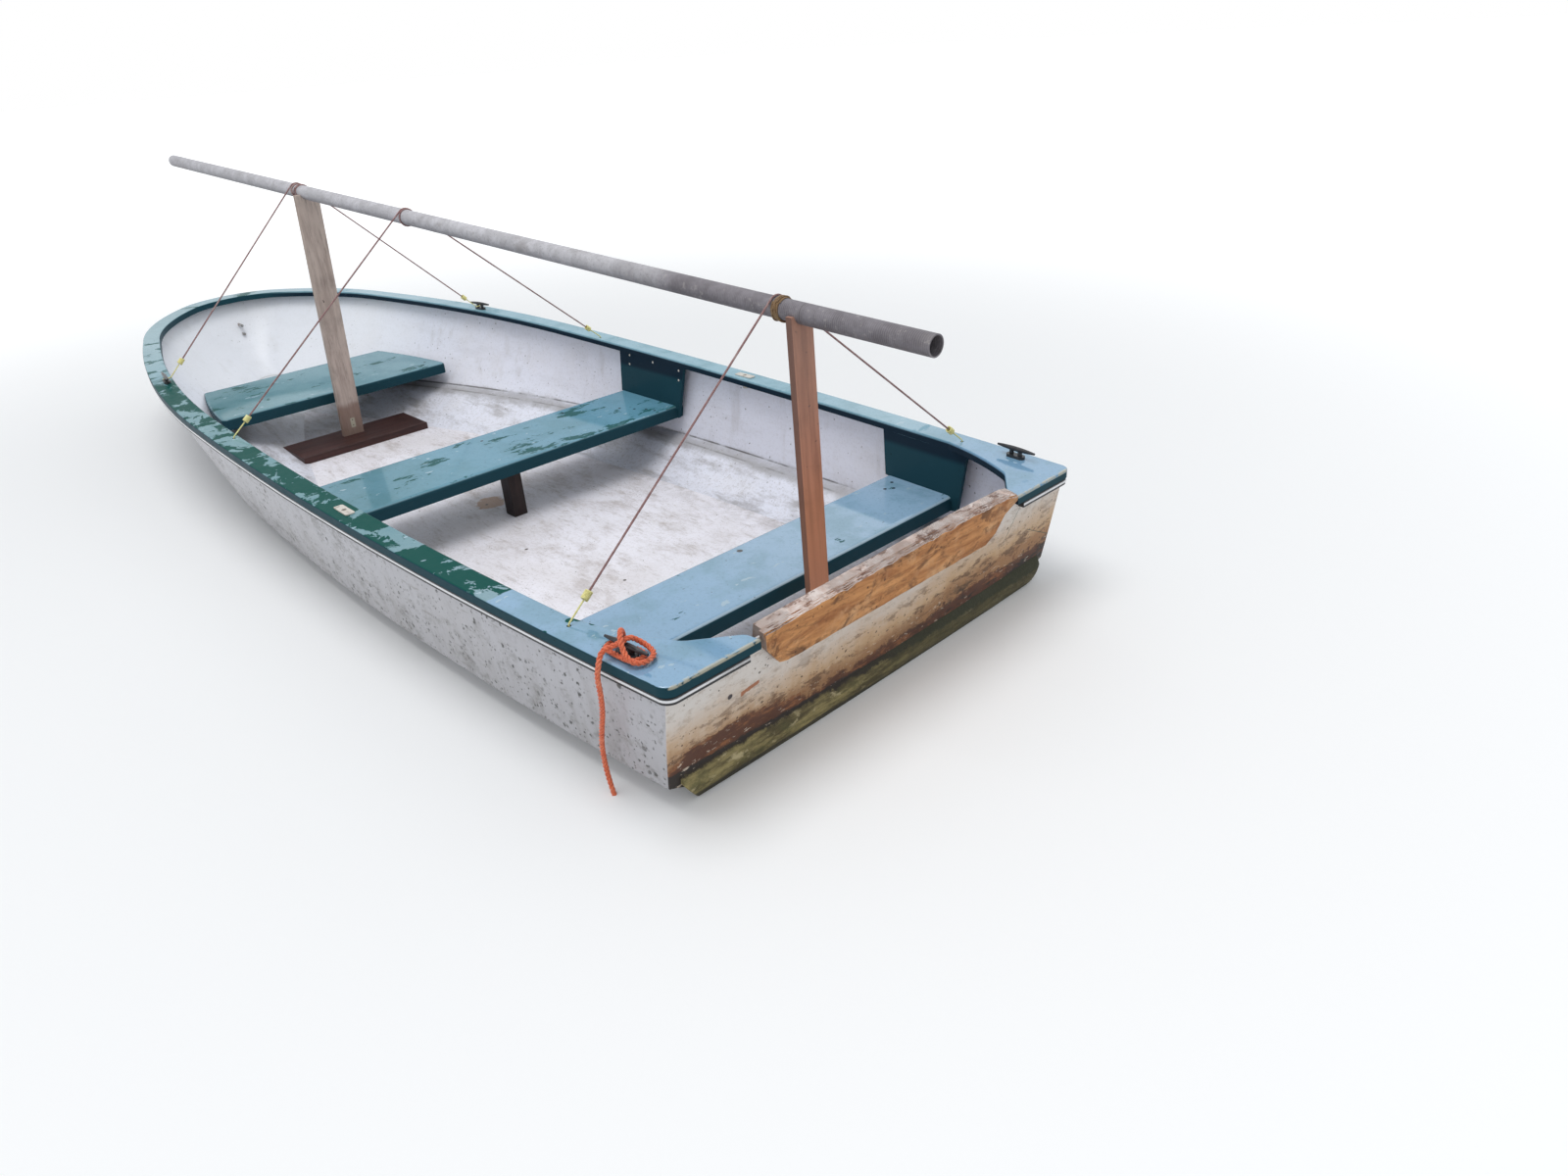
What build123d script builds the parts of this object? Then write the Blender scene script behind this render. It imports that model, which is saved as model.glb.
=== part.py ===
from build123d import *
import math
import os

# Open rowing dinghy afloat, in millimetres.
# X runs forward to the bow, Y to port, Z up; the origin is on the waterline,
# on the centreline, halfway along the hull.

os.makedirs("parts", exist_ok=True)

LEFT_RIGHT = (1, -1)

# Hull
STERN_X = -2100.0          # aft edge of the gunwale cap
BOW_X = 2109.0             # forward edge of the gunwale cap
WIDEST_X = -290.0          # station of the greatest beam
TRANSOM_RAKE = 0.175       # run forward per unit of drop
TRANSOM_TOP_X = -2088.0    # outer face of the transom at cap height
TRANSOM_TOP_Z = 334.0
SKIN = 6.0                 # laminate thickness
FLOOR_Z = -42.0            # top of the floor

# One level of the hull: height, widest half-breadth, half-breadth at the
# transom, bow position and the two powers that shape the forward curve.
BILGE_LEVELS = (
    (-64.0, 230.0, 215.0, 1180.0, 1.3, 1.2),
    (-58.0, 430.0, 412.0, 1380.0, 1.25, 1.15),
    (-42.0, 564.0, 536.0, 1500.0, 1.25, 1.15),
    (-8.0, 634.0, 590.0, 1660.0, 1.4, 1.22),
    (46.0, 700.0, 642.0, 1830.0, 1.65, 1.32),
)
SIDE_LEVELS = (
    (58.0, 726.0, 668.0, 1850.0, 1.65, 1.32),
    (220.0, 741.0, 675.0, 2010.0, 2.05, 1.75),
    (385.0, 751.0, 677.0, 2094.0, 2.27, 2.18),
    (480.0, 755.0, 678.0, 2130.0, 2.3, 2.25),
)
CAP_LEVEL = (765.0, 688.0, BOW_X, 2.27, 2.18)
# Stations of the bow curve, as fractions of its run from the widest station
BOW_FRACTIONS = (0.225, 0.53, 0.766, 0.899, 0.978)

# Gunwale cap: height above water at X = -2200, 0 and 2200, and its section
SHEER_AFT = 333.6
SHEER_MID = 357.6
SHEER_FORE = 415.5
SHEER_END_X = 2200.0
CAP_WIDTH = 72.0
CAP_DEPTH = 24.0
CAP_WALL = 5.0
CAP_ROUND = 4.0            # radius of its top edges
CORNER_R = 30.0            # plan radius of the quarters
NOTCH_Y = 441.0            # inboard end of each quarter deck
BEAD_HEIGHT = 13.0

# Seats
THWART_Z = 170.0
BOW_SEAT_Z = 158.0
THWART_LIP = 45.0
THWART_WALL = 6.0
MID_SEAT_X = (-430.0, -88.0)
STERN_SEAT_X = (-1745.0, -1488.0)
KNEE_WALL = 12.0

# Ridge pipe, cords and rope
PIPE_AFT = (-2180.0, 0.0, 829.0)
PIPE_FORE = (2250.0, 0.0, 1012.0)
PIPE_R = 24.15
PIPE_WALL = 3.2
CORD_R = 2.5
LINK_R = 2.0
TOGGLE_R = 8.0
TOGGLE_SPAN = (58.0, 82.0)     # along each leg from its anchor
ROPE_R = 6.0


def save(node, *solids):
    body = Compound(children=list(solids)) if len(solids) > 1 else solids[0]
    body.label = node
    export_step(body, os.path.join("parts", node + ".step"))


def box(x0, x1, y0, y1, z0, z1):
    return Box(x1 - x0, y1 - y0, z1 - z0).moved(Location(((x0 + x1) / 2, (y0 + y1) / 2, (z0 + z1) / 2)))


def rod(a, b, radius):
    a, b = Vector(*a), Vector(*b)
    return Solid.make_cylinder(radius, (b - a).length, Plane(origin=a, z_dir=(b - a)))


def tube(path, radius):
    return sweep(Plane(origin=path @ 0, z_dir=path % 0) * Circle(radius), path=path)


def panel(points):
    return Face(Wire(Polyline(*points, close=True).edges()))


# Lines of the hull
def half_breadth(x, level, stern=STERN_X):
    widest, transom, bow, power, root = level
    if x <= WIDEST_X:
        return widest - (widest - transom) * ((WIDEST_X - x) / (WIDEST_X - stern)) ** 2
    run = min(1.0, (x - WIDEST_X) / (bow - WIDEST_X))
    return widest * (1 - run ** power) ** (1 / root)


def side_points(level, stern):
    bow = level[2]
    first = WIDEST_X + (bow - WIDEST_X) * BOW_FRACTIONS[0]
    xs = [stern, (stern + first) / 2]
    xs += [WIDEST_X + (bow - WIDEST_X) * f for f in BOW_FRACTIONS]
    return [(x, half_breadth(x, level, stern)) for x in xs]


def plan_loop(level, stern, z=0.0):
    p = [(x, y, z) for x, y in side_points(level, stern)]
    q = [(x, -y, z) for x, y, _ in p]
    return Wire([
        ThreePointArc(p[0], p[1], p[2]),
        ThreePointArc(p[2], p[3], p[4]),
        ThreePointArc(p[4], p[5], p[6]),
        ThreePointArc(p[6], (level[2], 0, z), q[6]),
        ThreePointArc(q[6], q[5], q[4]),
        ThreePointArc(q[4], q[3], q[2]),
        ThreePointArc(q[2], q[1], q[0]),
        Line(q[0], p[0]),
    ])


def transom_x(z, inset=0.0):
    return TRANSOM_TOP_X + TRANSOM_RAKE * (TRANSOM_TOP_Z - z) + inset


def station(row, inset, lift):
    z, widest, transom, bow, power, root = row
    level = (widest - inset, transom - inset, bow - inset * 1.2, power, root)
    return plan_loop(level, transom_x(z, inset), z + lift)


def hull_form(inset):
    bilge = [station(row, inset, inset) for row in BILGE_LEVELS]
    side = [station(row, inset, 0) for row in SIDE_LEVELS]
    # a rounded bilge, the narrow step of the chine, then the smooth topsides
    step = Solid.make_loft([bilge[-1], side[0]], True)
    return Solid.make_loft(bilge, False) + step + Solid.make_loft(side, False)


def sheer_curve(drop=0.0):
    return ThreePointArc(
        (-SHEER_END_X, 0, SHEER_AFT - drop), (0, 0, SHEER_MID - drop), (SHEER_END_X, 0, SHEER_FORE - drop))


def below_sheer(top, depth=1000.0):
    high, low = sheer_curve(top), sheer_curve(depth)
    face = Face(Wire([low, Line(low @ 1, high @ 1), high, Line(high @ 0, low @ 0)]))
    return extrude(face, amount=900, dir=(0, 1, 0), both=True)


def sheer_z(x):
    return (sheer_curve() @ ((x + SHEER_END_X) / (2 * SHEER_END_X))).Z


def column(face, z0=150.0, z1=520.0):
    return extrude(face.moved(Location((0, 0, z0))), amount=z1 - z0, dir=(0, 0, 1))


# Hull skin, open at the top, cut to the underside of the cap
outer = hull_form(0)
inner = hull_form(SKIN)
hull_shell = (outer - inner) & below_sheer(CAP_WALL)
floor_pan = inner & box(-2200, 2200, -900, 900, -200, FLOOR_Z)

# Gunwale cap: an inverted channel that follows the sheer round the hull and
# widens aft into two quarter decks
cap_outline = Face(plan_loop(CAP_LEVEL, STERN_X))
cap_outline = cap_outline.fillet_2d(CORNER_R, cap_outline.vertices().sort_by(Axis.X)[0:2])
QUARTER_START_X = -1730.0
QUARTER_BEND = (-1880.0, 601.0)
QUARTER_TURN = (-1985.0, 552.0)
QUARTER_END = (-2062.0, 452.0)


def well_face():
    level = (CAP_LEVEL[0] - CAP_WIDTH, CAP_LEVEL[1] - CAP_WIDTH, BOW_X - CAP_WIDTH, CAP_LEVEL[3], CAP_LEVEL[4])
    p = side_points(level, STERN_X)
    start = (QUARTER_START_X, half_breadth(QUARTER_START_X, level))
    middle_x = (start[0] + p[2][0]) / 2
    middle = (middle_x, half_breadth(middle_x, level))

    def side(s):
        def at(*points):
            return [(x, s * y) for x, y in points]
        return [
            Line(*at((STERN_X - 30, NOTCH_Y), QUARTER_END)),
            Line(*at(QUARTER_END, QUARTER_TURN)),
            ThreePointArc(*at(QUARTER_TURN, QUARTER_BEND, start)),
            ThreePointArc(*at(start, middle, p[2])),
            ThreePointArc(*at(p[2], p[3], p[4])),
            ThreePointArc(*at(p[4], p[5], p[6])),
        ]
    nose = ThreePointArc(p[6], (BOW_X - CAP_WIDTH, 0), (p[6][0], -p[6][1]))
    close = Line((STERN_X - 30, NOTCH_Y), (STERN_X - 30, -NOTCH_Y))
    face = Face(Wire(side(1) + [nose] + side(-1) + [close]))
    corners = face.vertices()
    face = face.fillet_2d(70, [v for v in corners if abs(v.X - QUARTER_TURN[0]) < 1])
    return face.fillet_2d(24, [v for v in face.vertices() if abs(v.X - QUARTER_END[0]) < 1])


well = well_face()
cap_body = (column(cap_outline) - column(well)) & below_sheer(0, CAP_DEPTH)
cap_body = fillet(cap_body.faces().filter_by(lambda f: f.normal_at().Z > 0.9).edges(), CAP_ROUND)
channel = column(offset(cap_outline, amount=-CAP_WALL)) - column(offset(well, amount=CAP_WALL))
gunwale_cap = cap_body - (channel & below_sheer(CAP_WALL, CAP_DEPTH + 10)) - hull_shell

# Bright bead under the cap, along both sides and onto the quarters
bead = column(offset(cap_outline, amount=-1)) - column(offset(cap_outline, amount=-26))
bead = bead & below_sheer(CAP_DEPTH + 3, CAP_DEPTH + 3 + BEAD_HEIGHT)
bead = bead - outer - box(-2150, -1900, -NOTCH_Y - 34, NOTCH_Y + 34, 200, 450)

# Raked plane of the transom's outer face, up along the rake
rake = math.hypot(1, TRANSOM_RAKE)
transom_plane = Plane(
    origin=(TRANSOM_TOP_X, 0, TRANSOM_TOP_Z),
    x_dir=(0, -1, 0),
    z_dir=(-1 / rake, 0, -TRANSOM_RAKE / rake))


def on_transom(face, start, thickness):
    face = transom_plane.offset(start).location * face
    return extrude(face, amount=thickness, dir=transom_plane.z_dir)


# Plywood boards bolted each side of the transom, with a bowed top edge. The
# inner one is rebated over the laminate, so that the two meet above it.
PAD_WALL = 18.0
PAD_FOOT = -92.0
pad_crown = ((434, 13), (400, 20), (223, 25), (0, 22), (-231, 17), (-434, 13))
pad_face = panel(
    ((-441, 13), (-431, -34), (-392, -84), (-366, PAD_FOOT), (327, PAD_FOOT), (362, -71), (389, -26), (436, -2))
    + pad_crown[:-1])
transom_pad_outer = on_transom(pad_face, 0, PAD_WALL)
transom_pad_inner = on_transom(
    panel(pad_crown + ((-434, PAD_FOOT), (434, PAD_FOOT))), -SKIN - PAD_WALL, SKIN + PAD_WALL) - hull_shell

# Half-round foot that sags across the transom at the waterline; its ends
# follow the turn of the bilge
FOOT_DEEP = 88.0
FOOT_WALL = 20.0
FOOT_HALF = 640.0
foot_line = ThreePointArc((-FOOT_HALF, -262), (0, -277), (FOOT_HALF, -262))
foot_line = Edge(foot_line.wrapped).moved(transom_plane.location)
half_round = Face(Wire([
    ThreePointArc((0, 0), (-FOOT_WALL, -FOOT_DEEP / 2), (0, -FOOT_DEEP)),
    Line((0, -FOOT_DEEP), (0, 0)),
]))
foot_start = Plane(origin=foot_line @ 0, x_dir=-transom_plane.z_dir, z_dir=foot_line % 0)
foot_ends = panel((
    (-640, -250), (-638, -284), (-606, -330), (-560, -370), (560, -370), (606, -330), (638, -284), (640, -250)))
transom_foot = sweep(foot_start * half_round, path=foot_line) & on_transom(foot_ends, 0, FOOT_WALL + 5)


# Seats: moulded, with turned-down lips, open underneath
def moulded_seat(face, top, edge):
    block = extrude(face.moved(Location((0, 0, top - THWART_LIP))), amount=THWART_LIP, dir=(0, 0, 1))
    return fillet(block.edges().group_by(Axis.Z)[-1], edge)


def bench(x_range, top):
    x0, x1 = x_range
    block = box(x0, x1, -800, 800, top - THWART_LIP, top)
    block = fillet(block.edges().filter_by(Axis.Y).group_by(Axis.Z)[-1], 14)
    hollow = box(x0 + THWART_WALL, x1 - THWART_WALL, -800, 800, top - THWART_LIP - 5, top - THWART_WALL)
    return block & inner, (block - hollow) & inner


mid_block, middle_thwart = bench(MID_SEAT_X, THWART_Z)
stern_block, stern_thwart = bench(STERN_SEAT_X, THWART_Z)
# the bow seat narrows forward and its aft corners stand clear of the sides
bow_loop = Wire([
    Line((958, -487), (958, 487)),
    ThreePointArc((958, 487), (1205, 455), (1442, 398)),
    Line((1442, 398), (1442, -398)),
    ThreePointArc((1442, -398), (1205, -455), (958, -487)),
])
bow_face = Face(bow_loop)
bow_face = bow_face.fillet_2d(22, bow_face.vertices().sort_by(Axis.X)[0:2])
bow_block = moulded_seat(bow_face, BOW_SEAT_Z, 12)
bow_hollow = extrude(
    offset(bow_face, amount=-THWART_WALL).moved(Location((0, 0, BOW_SEAT_Z - THWART_LIP - 5))),
    amount=THWART_LIP + 5 - THWART_WALL, dir=(0, 0, 1))
bow_thwart = (bow_block - bow_hollow) & inner


# Knee panels from the seats up to the cap, shaped in profile (x, z)
def knees(profile, fore_y, aft_y, seat):
    x_fore, x_aft = profile[0][0], profile[2][0]
    slope = (fore_y - aft_y) / (x_fore - x_aft)
    solids = []
    for s in LEFT_RIGHT:
        face = panel([(x, s * (fore_y + (x - x_fore) * slope), z) for x, z in profile])
        board = extrude(face, amount=KNEE_WALL, dir=(0, s, 0))
        board = (board & below_sheer(CAP_DEPTH, 500)) & inner
        solids.append(board - seat)
    return solids


middle_knees = knees(((-91, THWART_Z), (-119, 400), (-517, 400), (-436, 125), (-420, 125)), 692, 692, mid_block)
stern_knees = knees(
    ((-1482, THWART_Z), (-1471, 400), (-1814, 400), (-1768, 128), (-1740, 125)), 660, 639, stern_block)

# Timber prop under the middle seat and the step plank
thwart_prop = box(-388, -333, -25, 25, FLOOR_Z, THWART_Z - THWART_WALL)
STEP_TOP = FLOOR_Z + 28
step_plank = box(758, 975, -248, 290, FLOOR_Z, STEP_TOP)
step_plank = fillet(step_plank.edges().group_by(Axis.Z)[-1], 3) & inner


# Ridge pipe on two leaning posts with grooved heads
def pipe_z(x):
    t = (x - PIPE_AFT[0]) / (PIPE_FORE[0] - PIPE_AFT[0])
    return PIPE_AFT[2] + t * (PIPE_FORE[2] - PIPE_AFT[2])


def post(foot_point, top_x, deep, wide, foot_z, head_drop):
    low = Plane((*foot_point, foot_z)) * Rectangle(deep, wide)
    high = Plane((top_x, 0, pipe_z(top_x) - head_drop)) * Rectangle(deep, wide)
    return Solid.make_loft([low.wire(), high.wire()], True) - rod(PIPE_AFT, PIPE_FORE, PIPE_R)


FORE_POST_X = 795.0
AFT_POST_X = -1802.0
forward_post = post((886, 25), FORE_POST_X, 22, 86, STEP_TOP, 5)
aft_post = post((-1826, 0), AFT_POST_X, 18, 66, FLOOR_Z, 4)
ridge_pipe = rod(PIPE_AFT, PIPE_FORE, PIPE_R) - rod(PIPE_AFT, PIPE_FORE, PIPE_R - PIPE_WALL)


# Taut cords over the pipe: anchor x, y and height over the cap, then the
# station where the cord crosses the pipe
CORDS = {
    "forward_cord": (853, 634, 14, 868),
    "middle_cord": (29, 706, 4, 0),
    "aft_cord": (-1760, 669, 4, -1734),
}
LINK_DROP = 14.0           # a link goes down a hole in the cap
LINK_REACH = 27.0          # or outboard through the window of a cleat


def cord_line(anchor_x, anchor_y, rise, pipe_x):
    anchor_z = sheer_z(anchor_x) + rise
    centre = pipe_z(pipe_x)
    reach = PIPE_R + CORD_R + 0.6
    slope = math.atan2(centre - anchor_z, anchor_y)
    for _ in range(6):
        apex = centre + reach / math.cos(slope)
        slope = math.atan2(apex - anchor_z, anchor_y)
    anchors = [Vector(anchor_x, s * anchor_y, anchor_z) for s in LEFT_RIGHT]
    return anchors, Vector(pipe_x, 0, apex), reach


cords = {}
cord_toggles = []
cord_links = []
for name, size in CORDS.items():
    anchors, apex, reach = cord_line(*size)
    ways = [(apex - a).normalized() for a in anchors]
    ends = [a + way * TOGGLE_SPAN[1] for a, way in zip(anchors, ways)]
    cords[name] = tube(FilletPolyline(ends[0], apex, ends[1], radius=reach), CORD_R)
    for anchor, way, end in zip(anchors, ways, ends):
        low = anchor + way * TOGGLE_SPAN[0]
        cord_toggles.append(rod(low, end, TOGGLE_R))
        if name == "forward_cord":
            foot = anchor + Vector(0, math.copysign(LINK_REACH, anchor.Y), 0)
        else:
            foot = anchor - Vector(0, 0, LINK_DROP)
        cord_links.append(tube(FilletPolyline(foot, anchor, low, radius=8), LINK_R))


# Turns of cord round the pipe, each of a six-sided section
def turns(*stations):
    axis = (Vector(*PIPE_FORE) - Vector(*PIPE_AFT)).normalized()
    rings = []
    for x in stations:
        centre = Vector(x, 0, pipe_z(x))
        side = Plane(origin=centre + Vector(0, PIPE_R + CORD_R, 0), x_dir=(0, 1, 0), z_dir=Vector(0, 1, 0).cross(axis))
        rings.append(revolve(side * RegularPolygon(CORD_R, 6), axis=Axis(centre, axis)))
    return rings


forward_lashing = turns(814, 831, 850)
aft_lashing = turns(-1760, -1754.6, -1749.2, -1743.8)
middle_turn = turns(-7)[0]

# Horn cleats on the cap
BOW_CLEAT = (853.0, 652.0, -8.0)
QUARTER_CLEAT = (-1946.0, 659.0, 5.0)
HORN_Z = 24.0
HORN_HALF = 62.0
above_deck = below_sheer(0)


def cleat(x, y, turn):
    base = extrude(SlotOverall(58, 22), amount=8)
    legs = [extrude(Location((s * 14, 0, 7)) * SlotOverall(13, 10), amount=HORN_Z - 9) for s in LEFT_RIGHT]
    spindle = Face(Wire([
        Line((-HORN_HALF, 0, HORN_Z), (-HORN_HALF, 0, HORN_Z + 3)),
        ThreePointArc((-HORN_HALF, 0, HORN_Z + 3), (0, 0, HORN_Z + 6.5), (HORN_HALF, 0, HORN_Z + 3)),
        Line((HORN_HALF, 0, HORN_Z + 3), (HORN_HALF, 0, HORN_Z)),
        Line((HORN_HALF, 0, HORN_Z), (-HORN_HALF, 0, HORN_Z)),
    ]))
    horn = revolve(spindle, axis=Axis((0, 0, HORN_Z), (1, 0, 0)))
    body = base + legs + horn
    return body.moved(Location((x, y, sheer_z(x)), (0, 0, turn))) - above_deck


bow_cleats = [cleat(BOW_CLEAT[0], s * BOW_CLEAT[1], s * BOW_CLEAT[2]) for s in LEFT_RIGHT]
quarter_cleats = [cleat(QUARTER_CLEAT[0], s * QUARTER_CLEAT[1], s * QUARTER_CLEAT[2]) for s in LEFT_RIGHT]

# Rowlock sockets let into the cap
ROWLOCK = (-799.0, 719.0)
SOCKET_R = 6.5
SOCKET_DEPTH = 45.0


def rowlock(s):
    place = Location((ROWLOCK[0], s * ROWLOCK[1], sheer_z(ROWLOCK[0])))
    plate = extrude(RectangleRounded(80, 26, 6), amount=3).moved(place) - above_deck
    barrel = Solid.make_cylinder(10, SOCKET_DEPTH).moved(place * Location((0, 0, 3 - SOCKET_DEPTH)))
    bore = Solid.make_cylinder(SOCKET_R, SOCKET_DEPTH + 20).moved(place * Location((0, 0, -SOCKET_DEPTH - 5)))
    return plate + barrel - bore


rowlock_sockets = [rowlock(s) for s in LEFT_RIGHT]
for s in LEFT_RIGHT:
    z = sheer_z(ROWLOCK[0])
    gunwale_cap = gunwale_cap - Solid.make_cylinder(10, 60, Plane((ROWLOCK[0], s * ROWLOCK[1], z - 50)))
    for name in ("middle_cord", "aft_cord"):
        x, y = CORDS[name][0:2]
        gunwale_cap = gunwale_cap - Solid.make_cylinder(5, 60, Plane((x, s * y, sheer_z(x) - 30)))

# Bow eye: a rod bent to a half circle and bolted through the stem, with a
# nut on each leg inside
EYE_Z = 262.0
EYE_R = 4.0
EYE_X = 2052.0             # centre of the bend
EYE_BEND = 20.0
EYE_LEG_X = 1996.0
eye_path = Wire([
    Line((EYE_LEG_X, 0, EYE_Z - EYE_BEND), (EYE_X, 0, EYE_Z - EYE_BEND)),
    ThreePointArc((EYE_X, 0, EYE_Z - EYE_BEND), (EYE_X + EYE_BEND, 0, EYE_Z), (EYE_X, 0, EYE_Z + EYE_BEND)),
    Line((EYE_X, 0, EYE_Z + EYE_BEND), (EYE_LEG_X, 0, EYE_Z + EYE_BEND)),
])
bow_eye = tube(eye_path, EYE_R)
hull_shell = hull_shell - bow_eye
for s in LEFT_RIGHT:
    nut = extrude(Plane((2000, 0, EYE_Z + s * EYE_BEND), z_dir=(1, 0, 0)) * RegularPolygon(7.5, 6), amount=60)
    bow_eye = bow_eye + (nut & inner)

# Keel strip and bilge runners under the hull
RUNNER_Y = 380.0


def skid(x0, x1, y, wide, low, taper):
    face = panel(((x0, y - wide / 2, -40), (x0, y - wide / 2, low), (x1 - taper, y - wide / 2, low), (x1, y - wide / 2, -40)))
    return extrude(face, amount=wide, dir=(0, 1, 0)) - outer


keel_strip = skid(-1985, 1230, 0, 44, -92, 260)
bilge_runners = [skid(-1700, 560, s * RUNNER_Y, 32, -82, 120) for s in LEFT_RIGHT]

# Orange rope: a hitch on the port quarter cleat, its points given from the
# cleat's foot, then the tail over the side to the water
HITCH = (
    (-8, -20, 8), (-33, -20, 8), (-44, -2, 8), (-35, 20, 8), (0, 20, 8), (24, 19, 8), (50, 16, 9),
    (52, -14, 9), (39, -25, 12), (28, -19, 30), (12, -2, 56), (-9, 19, 50), (-24, 27, 28), (-45, 27, 12),
    (-61, 6, 9), (-54, -26, 9), (-26, -36, 12), (-5, -27, 24), (-3, -8, 40), (1, 14, 35), (14, 27, 28))
TAIL_START = 20.0          # the tail leaves in line with the hitch
TAIL = (
    (-1931, 718, 335.5), (-1929.5, 724.5, 309), (-1929, 722.5, 271), (-1920, 719, 222),
    (-1901, 716, 171), (-1884, 713, 121), (-1882, 712, 71), (-1894, 714, 22), (-1914, 716, -26))
TUCK = 0.45                # share of a run that each arc may take


def rope_radii(points):
    radii = []
    for a, b, c in zip(points, points[1:], points[2:]):
        before, after = b - a, c - b
        half_turn = math.radians(before.get_angle(after)) / 2
        radii.append(TUCK * min(before.length, after.length) / math.tan(half_turn))
    return radii


foot = Location((QUARTER_CLEAT[0], QUARTER_CLEAT[1], sheer_z(QUARTER_CLEAT[0])), (0, 0, QUARTER_CLEAT[2]))
hitch_points = [(foot * Location(p)).position for p in HITCH]
onward = (hitch_points[-1] - hitch_points[-2]).normalized() * TAIL_START
tail_points = [hitch_points[-1], hitch_points[-1] + onward] + [Vector(*p) for p in TAIL]
hitch_radii, tail_radii = rope_radii(hitch_points), rope_radii(tail_points)
print("hitch radii", [round(r, 1) for r in hitch_radii])
print("tail radii", [round(r, 1) for r in tail_radii])
hitch_path = FilletPolyline(*hitch_points, radius=hitch_radii)
tail_path = FilletPolyline(*tail_points, radius=tail_radii)
rope_hitch = tube(hitch_path, ROPE_R)
rope_tail = tube(tail_path, ROPE_R)

save("hull_shell", hull_shell)
save("floor_pan", floor_pan)
save("gunwale_cap", gunwale_cap)
save("rub_rail", *bead.solids())
save("transom_pad_outer", transom_pad_outer)
save("transom_pad_inner", transom_pad_inner)
save("transom_foot", transom_foot)
save("bow_thwart", bow_thwart)
save("middle_thwart", middle_thwart)
save("stern_thwart", stern_thwart)
save("middle_knees", *middle_knees)
save("stern_knees", *stern_knees)
save("thwart_prop", thwart_prop)
save("step_plank", step_plank)
save("forward_post", forward_post)
save("aft_post", aft_post)
save("ridge_pipe", ridge_pipe)
save("forward_lashing", *forward_lashing)
save("aft_lashing", *aft_lashing)
save("forward_cord", cords["forward_cord"])
save("middle_cord", cords["middle_cord"], middle_turn)
save("aft_cord", cords["aft_cord"])
save("cord_toggles", *cord_toggles)
save("cord_links", *cord_links)
save("bow_cleats", *bow_cleats)
save("quarter_cleats", *quarter_cleats)
save("rowlock_sockets", *rowlock_sockets)
save("bow_eye", bow_eye)
save("keel_strip", keel_strip)
save("bilge_runners", *bilge_runners)
save("rope_tail", rope_tail)
save("rope_hitch", rope_hitch)
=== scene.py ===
# %% [markdown]
# # A rowing boat afloat
# The boat comes from CAD as a fixed frame of solid pieces in metres, with
# +X to the bow, +Y to port and Z = 0 at the waterline. This script adds what CAD
# left plain: the laid rope, coils, beading, screws and worn plywood, and the
# paint, dirt and grain on every surface. The frame is loaded first, because
# every added piece is placed from it.

# %% Load the frame
import bmesh
import bpy
import math
from mathutils import Matrix, Vector, kdtree, noise


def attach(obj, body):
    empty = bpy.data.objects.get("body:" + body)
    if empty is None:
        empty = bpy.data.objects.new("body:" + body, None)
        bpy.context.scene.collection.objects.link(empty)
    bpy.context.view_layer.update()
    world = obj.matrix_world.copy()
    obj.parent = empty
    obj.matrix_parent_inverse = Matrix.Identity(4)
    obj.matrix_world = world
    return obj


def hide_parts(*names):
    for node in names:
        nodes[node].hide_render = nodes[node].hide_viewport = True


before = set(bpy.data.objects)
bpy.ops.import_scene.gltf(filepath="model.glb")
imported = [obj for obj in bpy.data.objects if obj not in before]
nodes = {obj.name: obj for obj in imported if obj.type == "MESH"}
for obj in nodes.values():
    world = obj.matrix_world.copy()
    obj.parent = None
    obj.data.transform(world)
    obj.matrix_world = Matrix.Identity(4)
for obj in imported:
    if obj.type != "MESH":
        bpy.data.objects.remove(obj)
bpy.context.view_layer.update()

# %% [markdown]
# ## The camera
# The picture is taken from behind the port quarter, from standing height, and
# looks down over the boat. The camera can be aimed by hand, or its place can
# be worked out from things that come in pairs to port and starboard. The
# second way was used, and here only its result is set: a point, a heading, a
# pitch and a slight roll.

# %% Camera
EYE = Vector((-3.4192, 1.6055, 1.3917))
PITCH = 0.4948
HEADING = -0.7509
ROLL = -0.0632
FOCAL_PIXELS = 1055.0
IMAGE_WIDTH = 1600.0
SENSOR_WIDTH = 36.0
FAR_CLIP = 200


def new_object(name, data):
    made = bpy.data.objects.new(name, data)
    bpy.context.scene.collection.objects.link(made)
    return made


forward = Vector((
    math.cos(PITCH) * math.cos(HEADING), math.cos(PITCH) * math.sin(HEADING), -math.sin(PITCH)))
level = Vector((math.sin(HEADING), -math.cos(HEADING), 0))
upright = level.cross(forward)
across = level * math.cos(ROLL) + upright * math.sin(ROLL)
above = upright * math.cos(ROLL) - level * math.sin(ROLL)
lens = bpy.data.cameras.new("quarter_camera")
lens.sensor_width = SENSOR_WIDTH
lens.lens = FOCAL_PIXELS * SENSOR_WIDTH / IMAGE_WIDTH
lens.clip_end = FAR_CLIP
camera = new_object("quarter_camera", lens)
camera.matrix_world = Matrix.Translation(EYE) @ Matrix((across, above, -forward)).transposed().to_4x4()
bpy.context.scene.camera = camera
print("camera lens", round(lens.lens, 2), "mm")

# %% [markdown]
# ## Making and keeping pieces
# Each piece ends as one mesh whose object sits at the origin, so that its
# material can read the same coordinates as the boat. A few helpers do that for
# a bmesh and for round wires, which start as curves with a bevel.

# %% Helpers for pieces
MM = 0.001
MERGE = 0.01 * MM


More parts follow.
